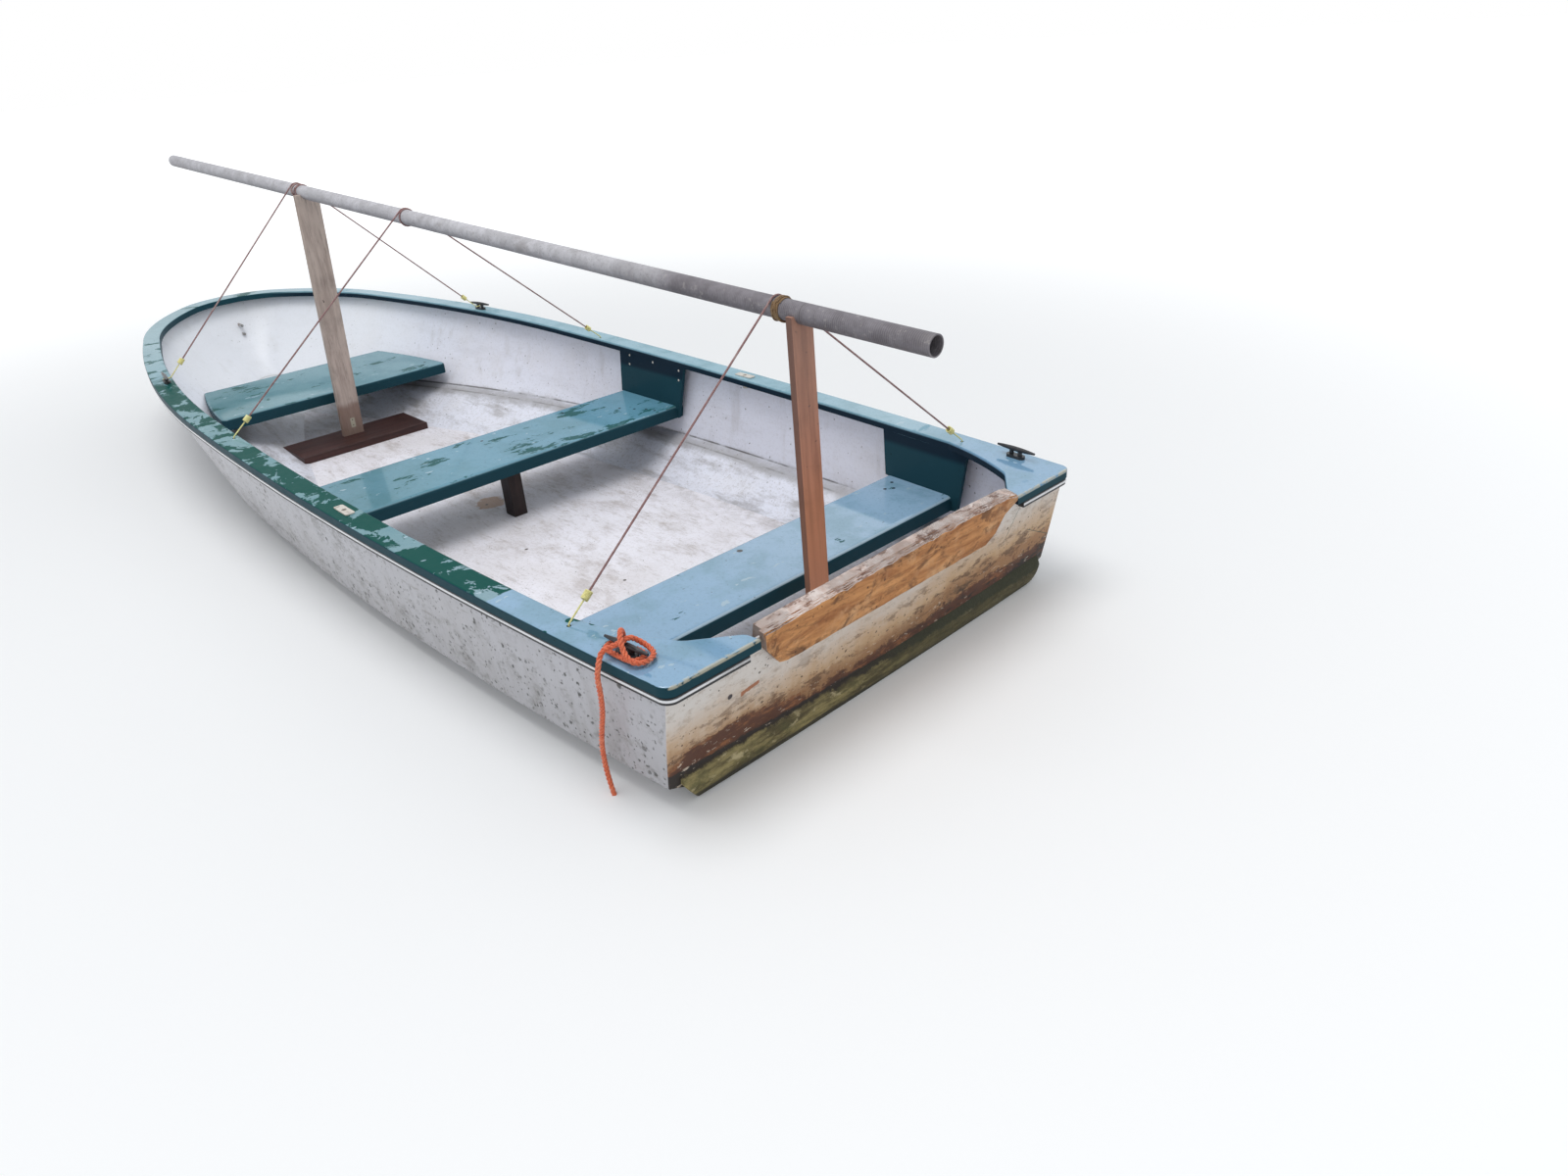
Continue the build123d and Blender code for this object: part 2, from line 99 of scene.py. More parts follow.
def keep(name, mesh, smooth=True):
    mesh.name = name
    piece = new_object(name, mesh)
    for face in mesh.polygons:
        face.use_smooth = smooth
    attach(piece, "root")
    print(name, len(mesh.polygons), "faces")
    return piece


def mesh_from(shape):
    mesh = bpy.data.meshes.new("shape")
    bmesh.ops.recalc_face_normals(shape, faces=shape.faces)
    shape.to_mesh(mesh)
    shape.free()
    return mesh


def joined(source):
    """A mesh as a bmesh, its double points merged."""
    shape = bmesh.new()
    shape.from_mesh(source)
    bmesh.ops.remove_doubles(shape, verts=shape.verts, dist=MERGE)
    return shape


def curve_mesh(paths, kind="POLY", radius=0.0, sides=2, steps=16):
    """Lines, or round wires when a radius is given, as one mesh."""
    data = bpy.data.curves.new("wire", "CURVE")
    data.dimensions = "3D"
    data.bevel_depth = radius
    data.bevel_resolution = sides
    data.resolution_u = steps
    data.use_fill_caps = True
    for path in paths:
        spline = data.splines.new(kind)
        spline.points.add(len(path) - 1)
        for point, place in zip(spline.points, path):
            point.co = (*place, 1)
        if kind == "NURBS":
            spline.order_u = 3
            spline.use_endpoint_u = True
    holder = bpy.data.objects.new("wire", data)
    mesh = bpy.data.meshes.new_from_object(holder)
    bpy.data.objects.remove(holder)
    bpy.data.curves.remove(data)
    return mesh


def heading(line, i):
    """From the point before to the point after."""
    return line[min(i + 1, len(line) - 1)] - line[max(i - 1, 0)]


print("piece helpers ready")

# %% [markdown]
# ## The rope on the quarter cleat
# A three-strand orange rope is made fast round the port quarter cleat, and its
# tail hangs over the side past the waterline. A rope could be one textured tube,
# but its lay shows in the outline, so three strands are twisted round the
# smooth line of the route. The route is a NURBS curve whose control points are
# the same as the solid's.

# %% Rope route
CLEAT_FOOT = Vector((-1.946, 0.659, 0.3346))
CLEAT_TURN = math.radians(5)
ROPE_R = 6 * MM
HITCH = (
    (-8, -20, 8), (-33, -20, 8), (-44, -2, 8), (-35, 20, 8), (0, 20, 8), (24, 19, 8), (50, 16, 9),
    (52, -14, 9), (39, -25, 12), (28, -19, 30), (12, -2, 56), (-9, 19, 50), (-24, 27, 28), (-45, 27, 12),
    (-61, 6, 9), (-54, -26, 9), (-26, -36, 12), (-5, -27, 24), (-3, -8, 40), (1, 14, 35), (14, 27, 28))
TAIL = (
    (-1931, 718, 335.5), (-1929.5, 724.5, 309), (-1929, 722.5, 271), (-1920, 719, 222),
    (-1901, 716, 171), (-1884, 713, 121), (-1882, 712, 71), (-1894, 714, 22), (-1914, 716, -26))
TAIL_START = 20 * MM

foot = Matrix.Translation(CLEAT_FOOT) @ Matrix.Rotation(CLEAT_TURN, 4, "Z")
hitch = [foot @ (Vector(p) * MM) for p in HITCH]
onward = (hitch[-1] - hitch[-2]).normalized() * TAIL_START
route = hitch + [hitch[-1] + onward] + [Vector(p) * MM for p in TAIL]
rope_line = [v.co.copy() for v in curve_mesh([route], "NURBS").vertices]

# %% [markdown]
# A strand lies a third of a turn from its neighbours. To twist round a bent
# line without a kink, the frame is carried along from point to point and only
# turned as far as the line itself bends.

# %% Rope strands
STRAND_R = ROPE_R * 0.48
STRAND_OUT = ROPE_R * 0.53
ROPE_PITCH = 30 * MM


def strands(line, count, out, pitch):
    side = (line[1] - line[0]).orthogonal().normalized()
    paths = [[] for _ in range(count)]
    run = 0.0
    for i, place in enumerate(line):
        way = heading(line, i).normalized()
        side = (side - way * side.dot(way)).normalized()
        up = way.cross(side)
        run += (place - line[i - 1]).length if i else 0.0
        for k, path in enumerate(paths):
            turn = math.tau * (run / pitch + k / count)
            path.append(place + side * (out * math.cos(turn)) + up * (out * math.sin(turn)))
    return paths


rope = keep("rope", curve_mesh(strands(rope_line, 3, STRAND_OUT, ROPE_PITCH), radius=STRAND_R))
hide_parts("rope_hitch", "rope_tail")

# %% [markdown]
# ## Coils on the thin cords
# Each thin cord ends in a yellow coil: plastic line wound seven times round
# the cord, which then runs on as a link to the boat's edge. The coil is a helix
# along the cord's own line, so that line is worked out first, in the same way
# as in the solid: from an anchor on the cap to a point on top of the pipe. A
# cord is given by its anchor's x, y and height over the sheer, and the x at
# which it crosses the pipe.

# %% Coils
SHEER = (0.3576, 0.018614, 0.003502)
PIPE_AFT = Vector((-2.18, 0, 0.829))
PIPE_WAY = (Vector((2.25, 0, 1.012)) - PIPE_AFT).normalized()
PIPE_R = 24.15 * MM
CORD_CLEAR = 3.1 * MM
SETTLE_ROUNDS = 6
CORDS = ((0.853, 0.634, 0.014, 0.868), (0.029, 0.706, 0.004, 0.0), (-1.76, 0.669, 0.004, -1.734))
COIL_SPAN = (58 * MM, 82 * MM)
COIL_TURNS = 7
COIL_WIRE = 1.8 * MM
COIL_R = 9.4 * MM - COIL_WIRE


def sheer_z(x):
    return SHEER[0] + SHEER[1] * x + SHEER[2] * x * x


def on_pipe(x):
    return PIPE_AFT + PIPE_WAY * ((x - PIPE_AFT.x) / PIPE_WAY.x)


def cord_leg(x, y, rise, pipe_x, side):
    anchor = Vector((x, side * y, sheer_z(x) + rise))
    centre = on_pipe(pipe_x)
    slope = math.atan2(centre.z - anchor.z, y)
    for _ in range(SETTLE_ROUNDS):
        apex = centre.z + (PIPE_R + CORD_CLEAR) / math.cos(slope)
        slope = math.atan2(apex - anchor.z, y)
    return anchor, (Vector((pipe_x, 0, apex)) - anchor).normalized()


def helix(start, way, radius, turns, length, per_turn=18):
    side = way.orthogonal().normalized()
    up = way.cross(side)
    count = turns * per_turn
    return [
        start + way * (length * i / count)
        + (side * math.cos(math.tau * i / per_turn) + up * math.sin(math.tau * i / per_turn)) * radius
        for i in range(count + 1)]


coil_paths = []
for cord in CORDS:
    for side in (1, -1):
        anchor, way = cord_leg(*cord, side)
        start = anchor + way * (COIL_SPAN[0] + COIL_WIRE)
        coil_paths.append(helix(start, way, COIL_R, COIL_TURNS, COIL_SPAN[1] - COIL_SPAN[0] - 2 * COIL_WIRE))
coils = keep("cord_coils", curve_mesh(coil_paths, radius=COIL_WIRE, sides=1))
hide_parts("cord_toggles")

# %% [markdown]
# ## Lashings on the pipe
# Thin cord is wound round the pipe beside each post. The aft winding is a
# close helix of straw-brown line with slanting turns pulled over it, and the
# forward one is a few loose reddish turns. Each winding is a row of values:
# place along the boat, turns, length, slant, lift and wobble.

# %% Lashings
STRAW_WIRE = 1.6 * MM
STRAW_ROWS = (
    (-1.7625, 7, 0.0215, 0, 0, 0.0008),
    (-1.7585, 2, 0.006, 0.006, 2.2 * MM, 0.001),
    (-1.75, 1, 0.003, -0.007, 2.6 * MM, 0.001))
RED_WIRE = 2.2 * MM
RED_ROWS = (
    (0.8135, 1, 0.005, 0.003, 0, 0.0015),
    (0.83, 1, 0.005, -0.005, 0, 0.0015),
    (0.848, 2, 0.009, 0.003, 0, 0.001))
WOBBLE_SCALE = 90
TURN_STEPS = 28


def winding(wire, x, turns, length, slant, lift, wobble):
    start = on_pipe(x)
    path = helix(start, PIPE_WAY, PIPE_R + wire + lift, turns, length, TURN_STEPS)
    done = []
    for place in path:
        away = place - start - PIPE_WAY * (place - start).dot(PIPE_WAY)
        shift = slant * away.z / PIPE_R + wobble * noise.noise(place * WOBBLE_SCALE)
        done.append(place + PIPE_WAY * shift)
    return done


def wound(name, rows, wire):
    paths = [winding(wire, *row) for row in rows]
    return keep(name, curve_mesh(paths, radius=wire, sides=1))


aft_winding = wound("aft_winding", STRAW_ROWS, STRAW_WIRE)
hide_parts("aft_lashing")
fore_winding = wound("fore_winding", RED_ROWS, RED_WIRE)
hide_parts("forward_lashing")

# %% [markdown]
# ## Rail and bright bead
# Under the cap runs a black carrier with a bright half-round bead pressed into
# it. Both follow one line. The line could be drawn anew, but then it might part
# from the solid, so it is read from the solid rail. The boat's plan is convex,
# so the rail's outer edge is the outline of its top points, opened at the gap
# that the board leaves in the stern.

# %% Line of the rail
RAIL_TOP = 27 * MM
TOP_SLACK = 1.2 * MM
OUTLINE_SLACK = -1e-7


def half_outline(places):
    chain = []
    for p in places:
        while len(chain) > 1:
            a, b = chain[-2], chain[-1]
            if (b[0] - a[0]) * (p[1] - a[1]) - (b[1] - a[1]) * (p[0] - a[0]) > OUTLINE_SLACK:
                break
            chain.pop()
        chain.append(p)
    return chain[:-1]


def outline(places):
    ordered = sorted(places)
    return half_outline(ordered) + half_outline(ordered[::-1])


top = {}
for v in nodes["rub_rail"].data.vertices:
    if v.co.z > sheer_z(v.co.x) - RAIL_TOP - TOP_SLACK:
        top[(round(v.co.x, 4), round(v.co.y, 4))] = v.co.copy()
loop = outline(top)
opening = max(range(len(loop)), key=lambda i: math.dist(loop[i], loop[i - 1]))
rail = [top[p] for p in reversed(loop[opening:] + loop[:opening])]
print("rail line of", len(rail), "points")

# %% [markdown]
# The carrier is a copy of the solid rail whose outer face is pushed in and whose
# foot is drawn down, so that black shows above and below the bead. The bead's
# profile is half an ellipse, as pairs: how far inboard of the line and how far
# above it, in millimetres. One ring of it is laid at each point, and
# neighbouring rings are bridged.

# %% Rail pieces
RAIL_SKIN = 4 * MM
CARRIER_IN = 1.0 * MM
CARRIER_DROP = 2.0 * MM
RAIL_FOOT = 38.5 * MM
BEAD_CENTRE = (1.6, -6.6)
BEAD_HALF = (2.4, 3.3)
BEAD = tuple(
    (BEAD_CENTRE[0] - BEAD_HALF[0] * math.cos(math.radians(t)),
     BEAD_CENTRE[1] + BEAD_HALF[1] * math.sin(math.radians(t))) for t in range(-90, 91, 20))


def inboard_ways(line):
    alongs = [heading(line, i) for i in range(len(line))]
    return [Vector((a.y, -a.x, 0)).normalized() for a in alongs]


def set_in(source, line, depth):
    tree = kdtree.KDTree(len(line))
    for i, place in enumerate(line):
        tree.insert((place.x, place.y, 0), i)
    tree.balance()
    ways = inboard_ways(line)
    shape = joined(source)
    for vert in shape.verts:
        _, index, gap = tree.find((vert.co.x, vert.co.y, 0))
        if gap < RAIL_SKIN:
            vert.co += ways[index] * depth
        if vert.co.z < sheer_z(vert.co.x) - RAIL_FOOT:
            vert.co.z -= CARRIER_DROP
    return mesh_from(shape)


def swept(line, profile):
    shape = bmesh.new()
    rings = []
    for place, inboard in zip(line, inboard_ways(line)):
        verts = [shape.verts.new(place + inboard * a * MM + Vector((0, 0, b * MM))) for a, b in profile]
        rings.append([shape.edges.new((verts[k - 1], verts[k])) for k in range(len(verts))])
    for ring, following in zip(rings, rings[1:]):
        bmesh.ops.bridge_loops(shape, edges=ring + following)
    for ring in (rings[0], rings[-1]):
        bmesh.ops.edgeloop_fill(shape, edges=ring)
    print("bead's open edges", sum(1 for e in shape.edges if e.is_boundary))
    return mesh_from(shape)


carrier = keep("rail_carrier", set_in(nodes["rub_rail"].data, rail, CARRIER_IN), smooth=False)
bright_bead = keep("bright_bead", swept(rail, BEAD))
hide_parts("rub_rail")

# %% [markdown]
# ## Ragged plywood
# The board outside the transom has lost its straight edges: the plies have
# come apart and worn back by different amounts. Noise in a material can't
# change an outline, so each of the five plies is cut from the board's own
# outline, its edge is moved inward by noise, and it is extruded to its
# thickness. A wave and a finer grit are added up, and each ply reads them at a
# place of its own. The top edge has worn most.

# %% Plies
PLY_WEAR = (4.5 * MM, 3.0 * MM, 1.5 * MM, 3.2 * MM, 1.2 * MM)
PLY_WALL = 18 * MM / len(PLY_WEAR)
RAKE = 0.175
OUT_OF_TRANSOM = Vector((-1, 0, -RAKE)).normalized()
EDGE_STEP = 5 * MM
WAVE_SCALE = 28
WAVE_SHIFT = 3.1
GRIT_SCALE = 150
GRIT_SHIFT = 5.7


def board_outline(source):
    shape = joined(source)
    bmesh.ops.dissolve_limit(shape, angle_limit=math.radians(0.5), verts=shape.verts, edges=shape.edges)
    outer = max((f for f in shape.faces if f.normal.dot(OUT_OF_TRANSOM) > 0.99), key=lambda f: f.calc_area())
    bmesh.ops.delete(shape, geom=[f for f in shape.faces if f is not outer], context="FACES")
    for edge in list(shape.edges):
        bmesh.ops.subdivide_edges(shape, edges=[edge], cuts=int(edge.calc_length() / EDGE_STEP))
    return shape


def ply(source, index, deepest):
    shape = board_outline(source)
    face = shape.faces[:][0]
    ring = [loop.vert for loop in face.loops]
    places = [v.co.copy() for v in ring]
    for i, vert in enumerate(ring):
        along = (places[(i + 1) % len(places)] - places[i - 1]).normalized()
        inward = face.normal.cross(along)
        top = max(0.0, -inward.z)
        wave = noise.noise(places[i] * WAVE_SCALE + Vector((0, 0, index * WAVE_SHIFT)))
        grit = noise.noise(places[i] * GRIT_SCALE + Vector((index * GRIT_SHIFT, 0, 0)))
        depth = deepest * (0.25 + 0.75 * top) * max(0.0, 0.45 + wave * 1.3 + grit * 0.5)
        vert.co = places[i] + inward * depth
    bmesh.ops.translate(shape, verts=ring, vec=OUT_OF_TRANSOM * (-PLY_WALL * index))
    grown = bmesh.ops.extrude_face_region(shape, geom=[face], use_keep_orig=True)
    moved = [g for g in grown["geom"] if isinstance(g, bmesh.types.BMVert)]
    bmesh.ops.translate(shape, verts=moved, vec=OUT_OF_TRANSOM * -PLY_WALL)
    print("ply", index, "open edges", sum(1 for e in shape.edges if e.is_boundary))
    return mesh_from(shape)


def ragged_board(source):
    stack = bmesh.new()
    for index, deepest in enumerate(PLY_WEAR):
        mesh = ply(source, index, deepest)
        stack.from_mesh(mesh)
        bpy.data.meshes.remove(mesh)
    return mesh_from(stack)


outer_board = keep("outer_board", ragged_board(nodes["transom_pad_outer"].data), smooth=False)
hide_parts("transom_pad_outer")

# %% [markdown]
# ## Screws
# Pale round-headed screws hold the knee panels, and small flat ones the
# rowlock plates. Each head is one profile spun about its own axis and set
# square to the surface that it clamps.

# %% Screws
KNEE_Y = 0.692
KNEE_SCREWS = ((-0.165, 0.287), (-0.314, 0.318), (-0.466, 0.312), (-0.46, 0.275), (-0.172, 0.323))
DOME = ((0.0, 2.4), (1.6, 2.2), (3.2, 1.5), (4.2, 0.4), (4.4, -0.8))
FLAT_HEAD = ((0.0, 0.9), (2.2, 0.8), (3.0, 0.4), (3.2, -0.6))
ROWLOCK = (-0.799, 0.719)
SCREW_REACH = 32 * MM
PLATE_TOP = 3 * MM


def turned(shape, profile, place, way, steps=14):
    verts = [shape.verts.new((r * MM, 0, h * MM)) for r, h in profile]
    edges = [shape.edges.new(pair) for pair in zip(verts, verts[1:])]
    before = set(shape.verts) - set(verts)
    bmesh.ops.spin(
        shape, geom=verts + edges, cent=(0, 0, 0), axis=(0, 0, 1), angle=math.tau, steps=steps, use_merge=True)
    fresh = [v for v in shape.verts if v not in before]
    bmesh.ops.remove_doubles(shape, verts=fresh, dist=MERGE)
    fresh = [v for v in shape.verts if v not in before]
    turn = Vector((0, 0, 1)).rotation_difference(Vector(way)).to_matrix().to_4x4()
    bmesh.ops.transform(shape, matrix=Matrix.Translation(place) @ turn, verts=fresh)


def screws(name, profile, places):
    heads = bmesh.new()
    for place, way in places:
        turned(heads, profile, place, way)
    return keep(name, mesh_from(heads))


knees = [((x, side * KNEE_Y, z), (0, -side, 0)) for side in (1, -1) for x, z in KNEE_SCREWS]
pale_screws = screws("knee_screws", DOME, knees)
plate_z = sheer_z(ROWLOCK[0]) + PLATE_TOP
plates = [
    ((ROWLOCK[0] + reach, side * ROWLOCK[1], plate_z), (0, 0, 1))
    for side in (1, -1) for reach in (-SCREW_REACH, SCREW_REACH)]
plate_screws = screws("plate_screws", FLAT_HEAD, plates)

# %% [markdown]
# ## Floor of the studio
# A plain floor lies at the waterline. The boat is open and its own floor is
# lower than that, so the plane has a hole in the boat's shape. The section
# there is convex, so its outline is found as the rail's was.

# %% Studio floor
FLOOR_HALF = 60.0
HOLE_INSET = 3 * MM

hull = bmesh.new()
hull.from_mesh(nodes["hull_shell"].data)
cut = bmesh.ops.bisect_plane(
    hull, geom=hull.verts[:] + hull.edges[:] + hull.faces[:], plane_co=(0, 0, 0), plane_no=(0, 0, 1))
found = [g for g in cut["geom_cut"] if isinstance(g, bmesh.types.BMVert)]
places = {(round(v.co.x, 5), round(v.co.y, 5)) for v in found}
hull.free()
loop = [Vector((x, y, 0)) for x, y in outline(places)]
plane = bmesh.new()
inner = []
for i, place in enumerate(loop):
    along = (loop[(i + 1) % len(loop)] - loop[i - 1]).normalized()
    inner.append(plane.verts.new(place + Vector((-along.y, along.x, 0)) * HOLE_INSET))
corners = ((-1, -1), (1, -1), (1, 1), (-1, 1))
outer = [plane.verts.new((x * FLOOR_HALF, y * FLOOR_HALF, 0)) for x, y in corners]
edges = [plane.edges.new((ring[i - 1], ring[i])) for ring in (inner, outer) for i in range(len(ring))]
bmesh.ops.triangle_fill(plane, use_beauty=True, edges=edges)
floor = new_object("studio_floor", mesh_from(plane))
print("floor hole of", len(loop), "points")

# %% [markdown]
# ## Writing materials as expressions
# A material is a small graph of nodes. Typed out as nodes and links it is long
# and hard to read, so a value is wrapped in a class whose operators add the
# Math nodes: 1 - mask is then a line of Python, and a | b is the greater.

# %% Value
def operator(operation):
    return lambda value, *others: value.graph.maths(operation, value, *others)


class Value:
    """A number or colour inside a graph."""

    def __init__(self, graph, socket):
        self.graph = graph
        self.socket = socket

    def __rsub__(self, other):
        return self.graph.maths("SUBTRACT", other, self)

    __sub__ = operator("SUBTRACT")
    __add__ = __radd__ = operator("ADD")
    __mul__ = __rmul__ = operator("MULTIPLY")
    __or__ = operator("MAXIMUM")
    __abs__ = operator("ABSOLUTE")


print("values ready")

# %% [markdown]
# A graph makes the nodes. Every kind comes from one method, node(), and the
# rest stand on it: sums, a mix of colours, a soft step and a soft band.

# %% Graph
class Graph:
    """A node tree that expressions are written in."""

    def __init__(self, tree):
        self.tree = tree

    def join(self, value, socket):
        if isinstance(value, Value):
            self.tree.links.new(value.socket, socket)
        else:
            socket.default_value = value

    def node(self, kind, settings=None, inputs=None, out=0):
        made = self.tree.nodes.new("ShaderNode" + kind)
        for key, value in (settings or {}).items():
            setattr(made, key, value)
        for key, value in (inputs or {}).items():
            self.join(value, made.inputs[key])
        return made if out is None else Value(self, made.outputs[out])

    def maths(self, operation, *terms):
        return self.node("Math", {"operation": operation}, dict(enumerate(terms)))

    def vector(self, operation, *terms, out=0):
        return self.node("VectorMath", {"operation": operation}, dict(enumerate(terms)), out)

    def mix(self, factor, a, b):
        """Colour a where the factor is 0, colour b where it is 1."""
        a, b = (c if isinstance(c, Value) else (*c, 1) for c in (a, b))
        return self.node("Mix", {"data_type": "RGBA"}, {0: factor, 6: a, 7: b}, out=2)

    def ease(self, value, low, high):
        """0 at low, 1 at high and smooth between; low may be the greater."""
        return self.node(
            "MapRange", {"interpolation_type": "SMOOTHSTEP"},
            {"Value": value, "From Min": low, "From Max": high})

    def near(self, value, middle, reach, soft=0.3):
        """1 where the value is within reach of the middle."""
        return self.ease(abs(value - middle), reach, reach * (1 - soft))

# %% [markdown]
# A finish is a graph that ends in a shader. Its colour is built up as dirt
# is: a ground first, then coat upon coat, each laid where a mask is 1. The
# usual mask is patches(), noise cut between two levels, crisp when they are
# close. The noise has a scale, a detail, a roughness, and a stretch that
# draws it out: a value under 1 makes it longer on that axis.

# %% Finish
class Finish(Graph):
    """A material whose shader is fed by expressions."""

    def __init__(self, name, **constants):
        self.material = bpy.data.materials.new(name)
        self.material.use_nodes = True
        super().__init__(self.material.node_tree)
        self.shader = self.tree.nodes["Principled BSDF"]
        self.colour = None
        self.feed(**constants)
        self.place = self.node("TexCoord", out="Object")
        parts = self.node("SeparateXYZ", inputs={0: self.place}, out=None)
        self.x, self.y, self.z = (Value(self, parts.outputs[i]) for i in range(3))

    def feed(self, **values):
        for name, value in values.items():
            self.join(value, self.shader.inputs[name.replace("_", " ").title().replace("Ior", "IOR")])

    def relief(self, height, distance):
        self.feed(normal=self.node("Bump", None, {"Height": height, "Distance": distance}))

    def lay(self, mask, colour):
        """A further coat over the colour so far."""
        self.colour = self.mix(mask, self.colour, colour)

    def on(self, *names):
        if self.colour is not None:
            self.feed(base_color=self.colour)
        for name in names:
            materials = bpy.data.objects[name].data.materials
            materials.clear()
            materials.append(self.material)
        print(self.material.name, "of", len(self.tree.nodes), "nodes on", *names)

    def stretched(self, scale):
        return self.vector("MULTIPLY", self.place, scale)

    def away(self, place):
        return self.vector("DISTANCE", self.place, place, out="Value")

    def facing(self, axis):
        """How far the surface's normal points along an axis."""
        normal = self.node("NewGeometry", out="Normal")
        return self.vector("DOT_PRODUCT", normal, axis, out="Value")

    def noise(self, scale, detail=3, rough=0.5, stretch=None, distortion=0):
        place = self.stretched(stretch) if stretch else self.place
        return self.node("TexNoise", None, {
            "Vector": place, "Scale": scale, "Detail": detail, "Roughness": rough, "Distortion": distortion})

    def patches(self, low, high, *grain, **more):
        return self.ease(self.noise(*grain, **more), low, high)

    def uneven(self, value, amount, *grain, **more):
        """The value, raised and lowered by noise."""
        return value + (self.noise(*grain, **more) - 0.5) * amount

    def specks(self, scale, size):
        """Scattered dots of uneven size: 1 inside a dot."""
        wobble = self.node("TexNoise", None, {
            "Vector": self.place, "Scale": scale * 3, "Detail": 2.0}, out="Color")
        moved = self.vector("MULTIPLY_ADD", wobble, (0.5 / scale,) * 3, self.place)
        cells = self.node("TexVoronoi", None, {"Vector": moved, "Scale": scale}, out=None)
        random = self.node("SeparateColor", None, {0: Value(self, cells.outputs["Color"])})
        radius = random * random * size
        return self.ease(Value(self, cells.outputs["Distance"]), radius, radius * 0.55)

    def dots(self, places, radius):
        """1 within the radius of any of the places."""
        found = 0
        for place in places:
            found = self.ease(self.away(place), radius, radius * 0.75) | found
        return found


UP = (0, 0, 1)
PORT = (0, 1, 0)
AFT = (-1, 0, 0)
BLACK = (0.012, 0.012, 0.012)
print("finish helpers ready")

# %% [markdown]
# ## White laminate of the hull
# The hull is one moulded skin, white gelcoat inside and out, and each part of
# it has aged its own way. One material can tell the parts apart by height, by
# the plane of the transom and by which way the surface faces. The topsides
# come first: a grey ground, partly dulled paint and partly painted shade,
# darker low down, then streaks drawn out downward, smears, scratches, crowds
# of dark specks, and green growth at the waterline.

# %% Topsides
DULL_AND_SHADE = (0.36, 0.35, 0.36)
GRIME_AND_SHADE = (0.2, 0.18, 0.16)
SMEAR = (0.17, 0.16, 0.15)
MOULD = (0.03, 0.032, 0.026)
SOOT = (0.1, 0.095, 0.09)
ALGAE = (0.05, 0.055, 0.035)


def topsides(f):
    low = f.ease(f.z, 0.3, 0.04)
    # A grey laid over all the topsides, more low down: dulled paint and painted shade.
    f.lay(f.ease(f.z, 0.28, 0.08) * 0.16 + 0.66, DULL_AND_SHADE)
    streak = f.patches(0.46, 0.72, 16, 5, 0.7, (1, 1, 0.25))
    f.lay(streak * (low * 0.35 + 0.12), GRIME_AND_SHADE)
    smear = f.patches(0.5, 0.66, 26, 6, 0.75)
    f.lay(smear * (low * 0.46 + 0.26), SMEAR)
    scratch = f.patches(0.62, 0.68, 60, 4, 0.7, (0.12, 1, 1))
    f.lay(scratch * 0.45, GRIME_AND_SHADE)
    crowd = f.patches(0.34, 0.56, 5, 3, 0.6)
    dark = f.specks(48, 0.42) * (crowd * 0.8 + 0.2) | f.specks(95, 0.46) * (low * 0.5 + 0.5)
    dark = dark | f.specks(30, 0.2) * 0.95
    f.lay(dark * 0.94, MOULD)
    soot = f.patches(0.53, 0.64, 9, 6, 0.8, (0.6, 1, 1)) * f.ease(f.x, -1.9, -0.9)
    f.lay(soot * 0.55, SOOT)
    growth = f.ease(f.uneven(f.z, 0.07, 20, 5, 0.7), 0.04, 0.0)
    f.lay(growth * 0.85, ALGAE)

# %% [markdown]
# Inside, grime lies in the bilge and along the stepped chine, whose two edges
# are thin dark lines that noise breaks up. A wider dark band over the chine is
# part grime and part painted shade. Towards the bow the skin is whitened with
# painted light.

# %% Inner skin
SCUFF = (0.27, 0.245, 0.235)
FINE_DIRT = (0.4, 0.37, 0.36)
RUNNEL = (0.36, 0.32, 0.29)
LINE_DIRT = (0.05, 0.045, 0.045)
FLECK = (0.11, 0.095, 0.085)
BOW_PAINTED_LIGHT = (0.96, 0.98, 1.0)
CHINE_EDGES = (0.0595, 0.047)


def inner_skin(f):
    bilge = f.ease(f.z, 0.085, 0.02)
    scuff = f.patches(0.46, 0.7, 11, 6, 0.72, (0.35, 1, 1.6))
    f.lay(scuff * (bilge * 0.6 + 0.12), SCUFF)
    grain = f.patches(0.5, 0.62, 85, 5, 0.85)
    f.lay(grain * (bilge * 0.25 + 0.16), FINE_DIRT)
    f.lay(f.patches(0.54, 0.74, 14, 4, 0.6, (1, 1, 0.18)) * 0.25, RUNNEL)
    broken = f.patches(0.38, 0.56, 7, 4, 0.6)
    upper, lower = f.near(f.z, CHINE_EDGES[0], 0.0026), f.near(f.z, CHINE_EDGES[1], 0.0018)
    f.lay((upper * broken | lower * broken * 0.6) * 0.8, LINE_DIRT)
    # A wider dark band over the chine: part grime, part painted shade.
    shade = f.near(f.uneven(f.z, 0.03, 9, 4, 0.7), 0.048, 0.022, 0.9)
    f.lay(shade * 0.55, GRIME_AND_SHADE)
    flecks = f.specks(48, 0.2) | f.specks(110, 0.26) * f.patches(0.45, 0.65, 4, 3)
    f.lay(flecks * 0.75, FLECK)
    # Painted light: the skin paler and bluer towards the bow.
    f.lay(f.ease(f.x, 1.1, 1.7) * 0.6, BOW_PAINTED_LIGHT)

# %% [markdown]
# On the transom, rust lies in layers: ochre high up, amber below, and deep
# rust along the foot, darkest at the two corners. The layers are steps on one
# height, which three noises have made uneven, so that they keep their order.

# %% Rust on the transom
STERN_BUFF = (0.7, 0.645, 0.575)
BROWN_GRAIN = (0.34, 0.25, 0.17)
OCHRE = (0.54, 0.33, 0.155)
AMBER = (0.3, 0.135, 0.05)
STAIN = (0.1, 0.046, 0.022)
RUST = (0.085, 0.027, 0.014)
FIBRE = (0.32, 0.125, 0.045)


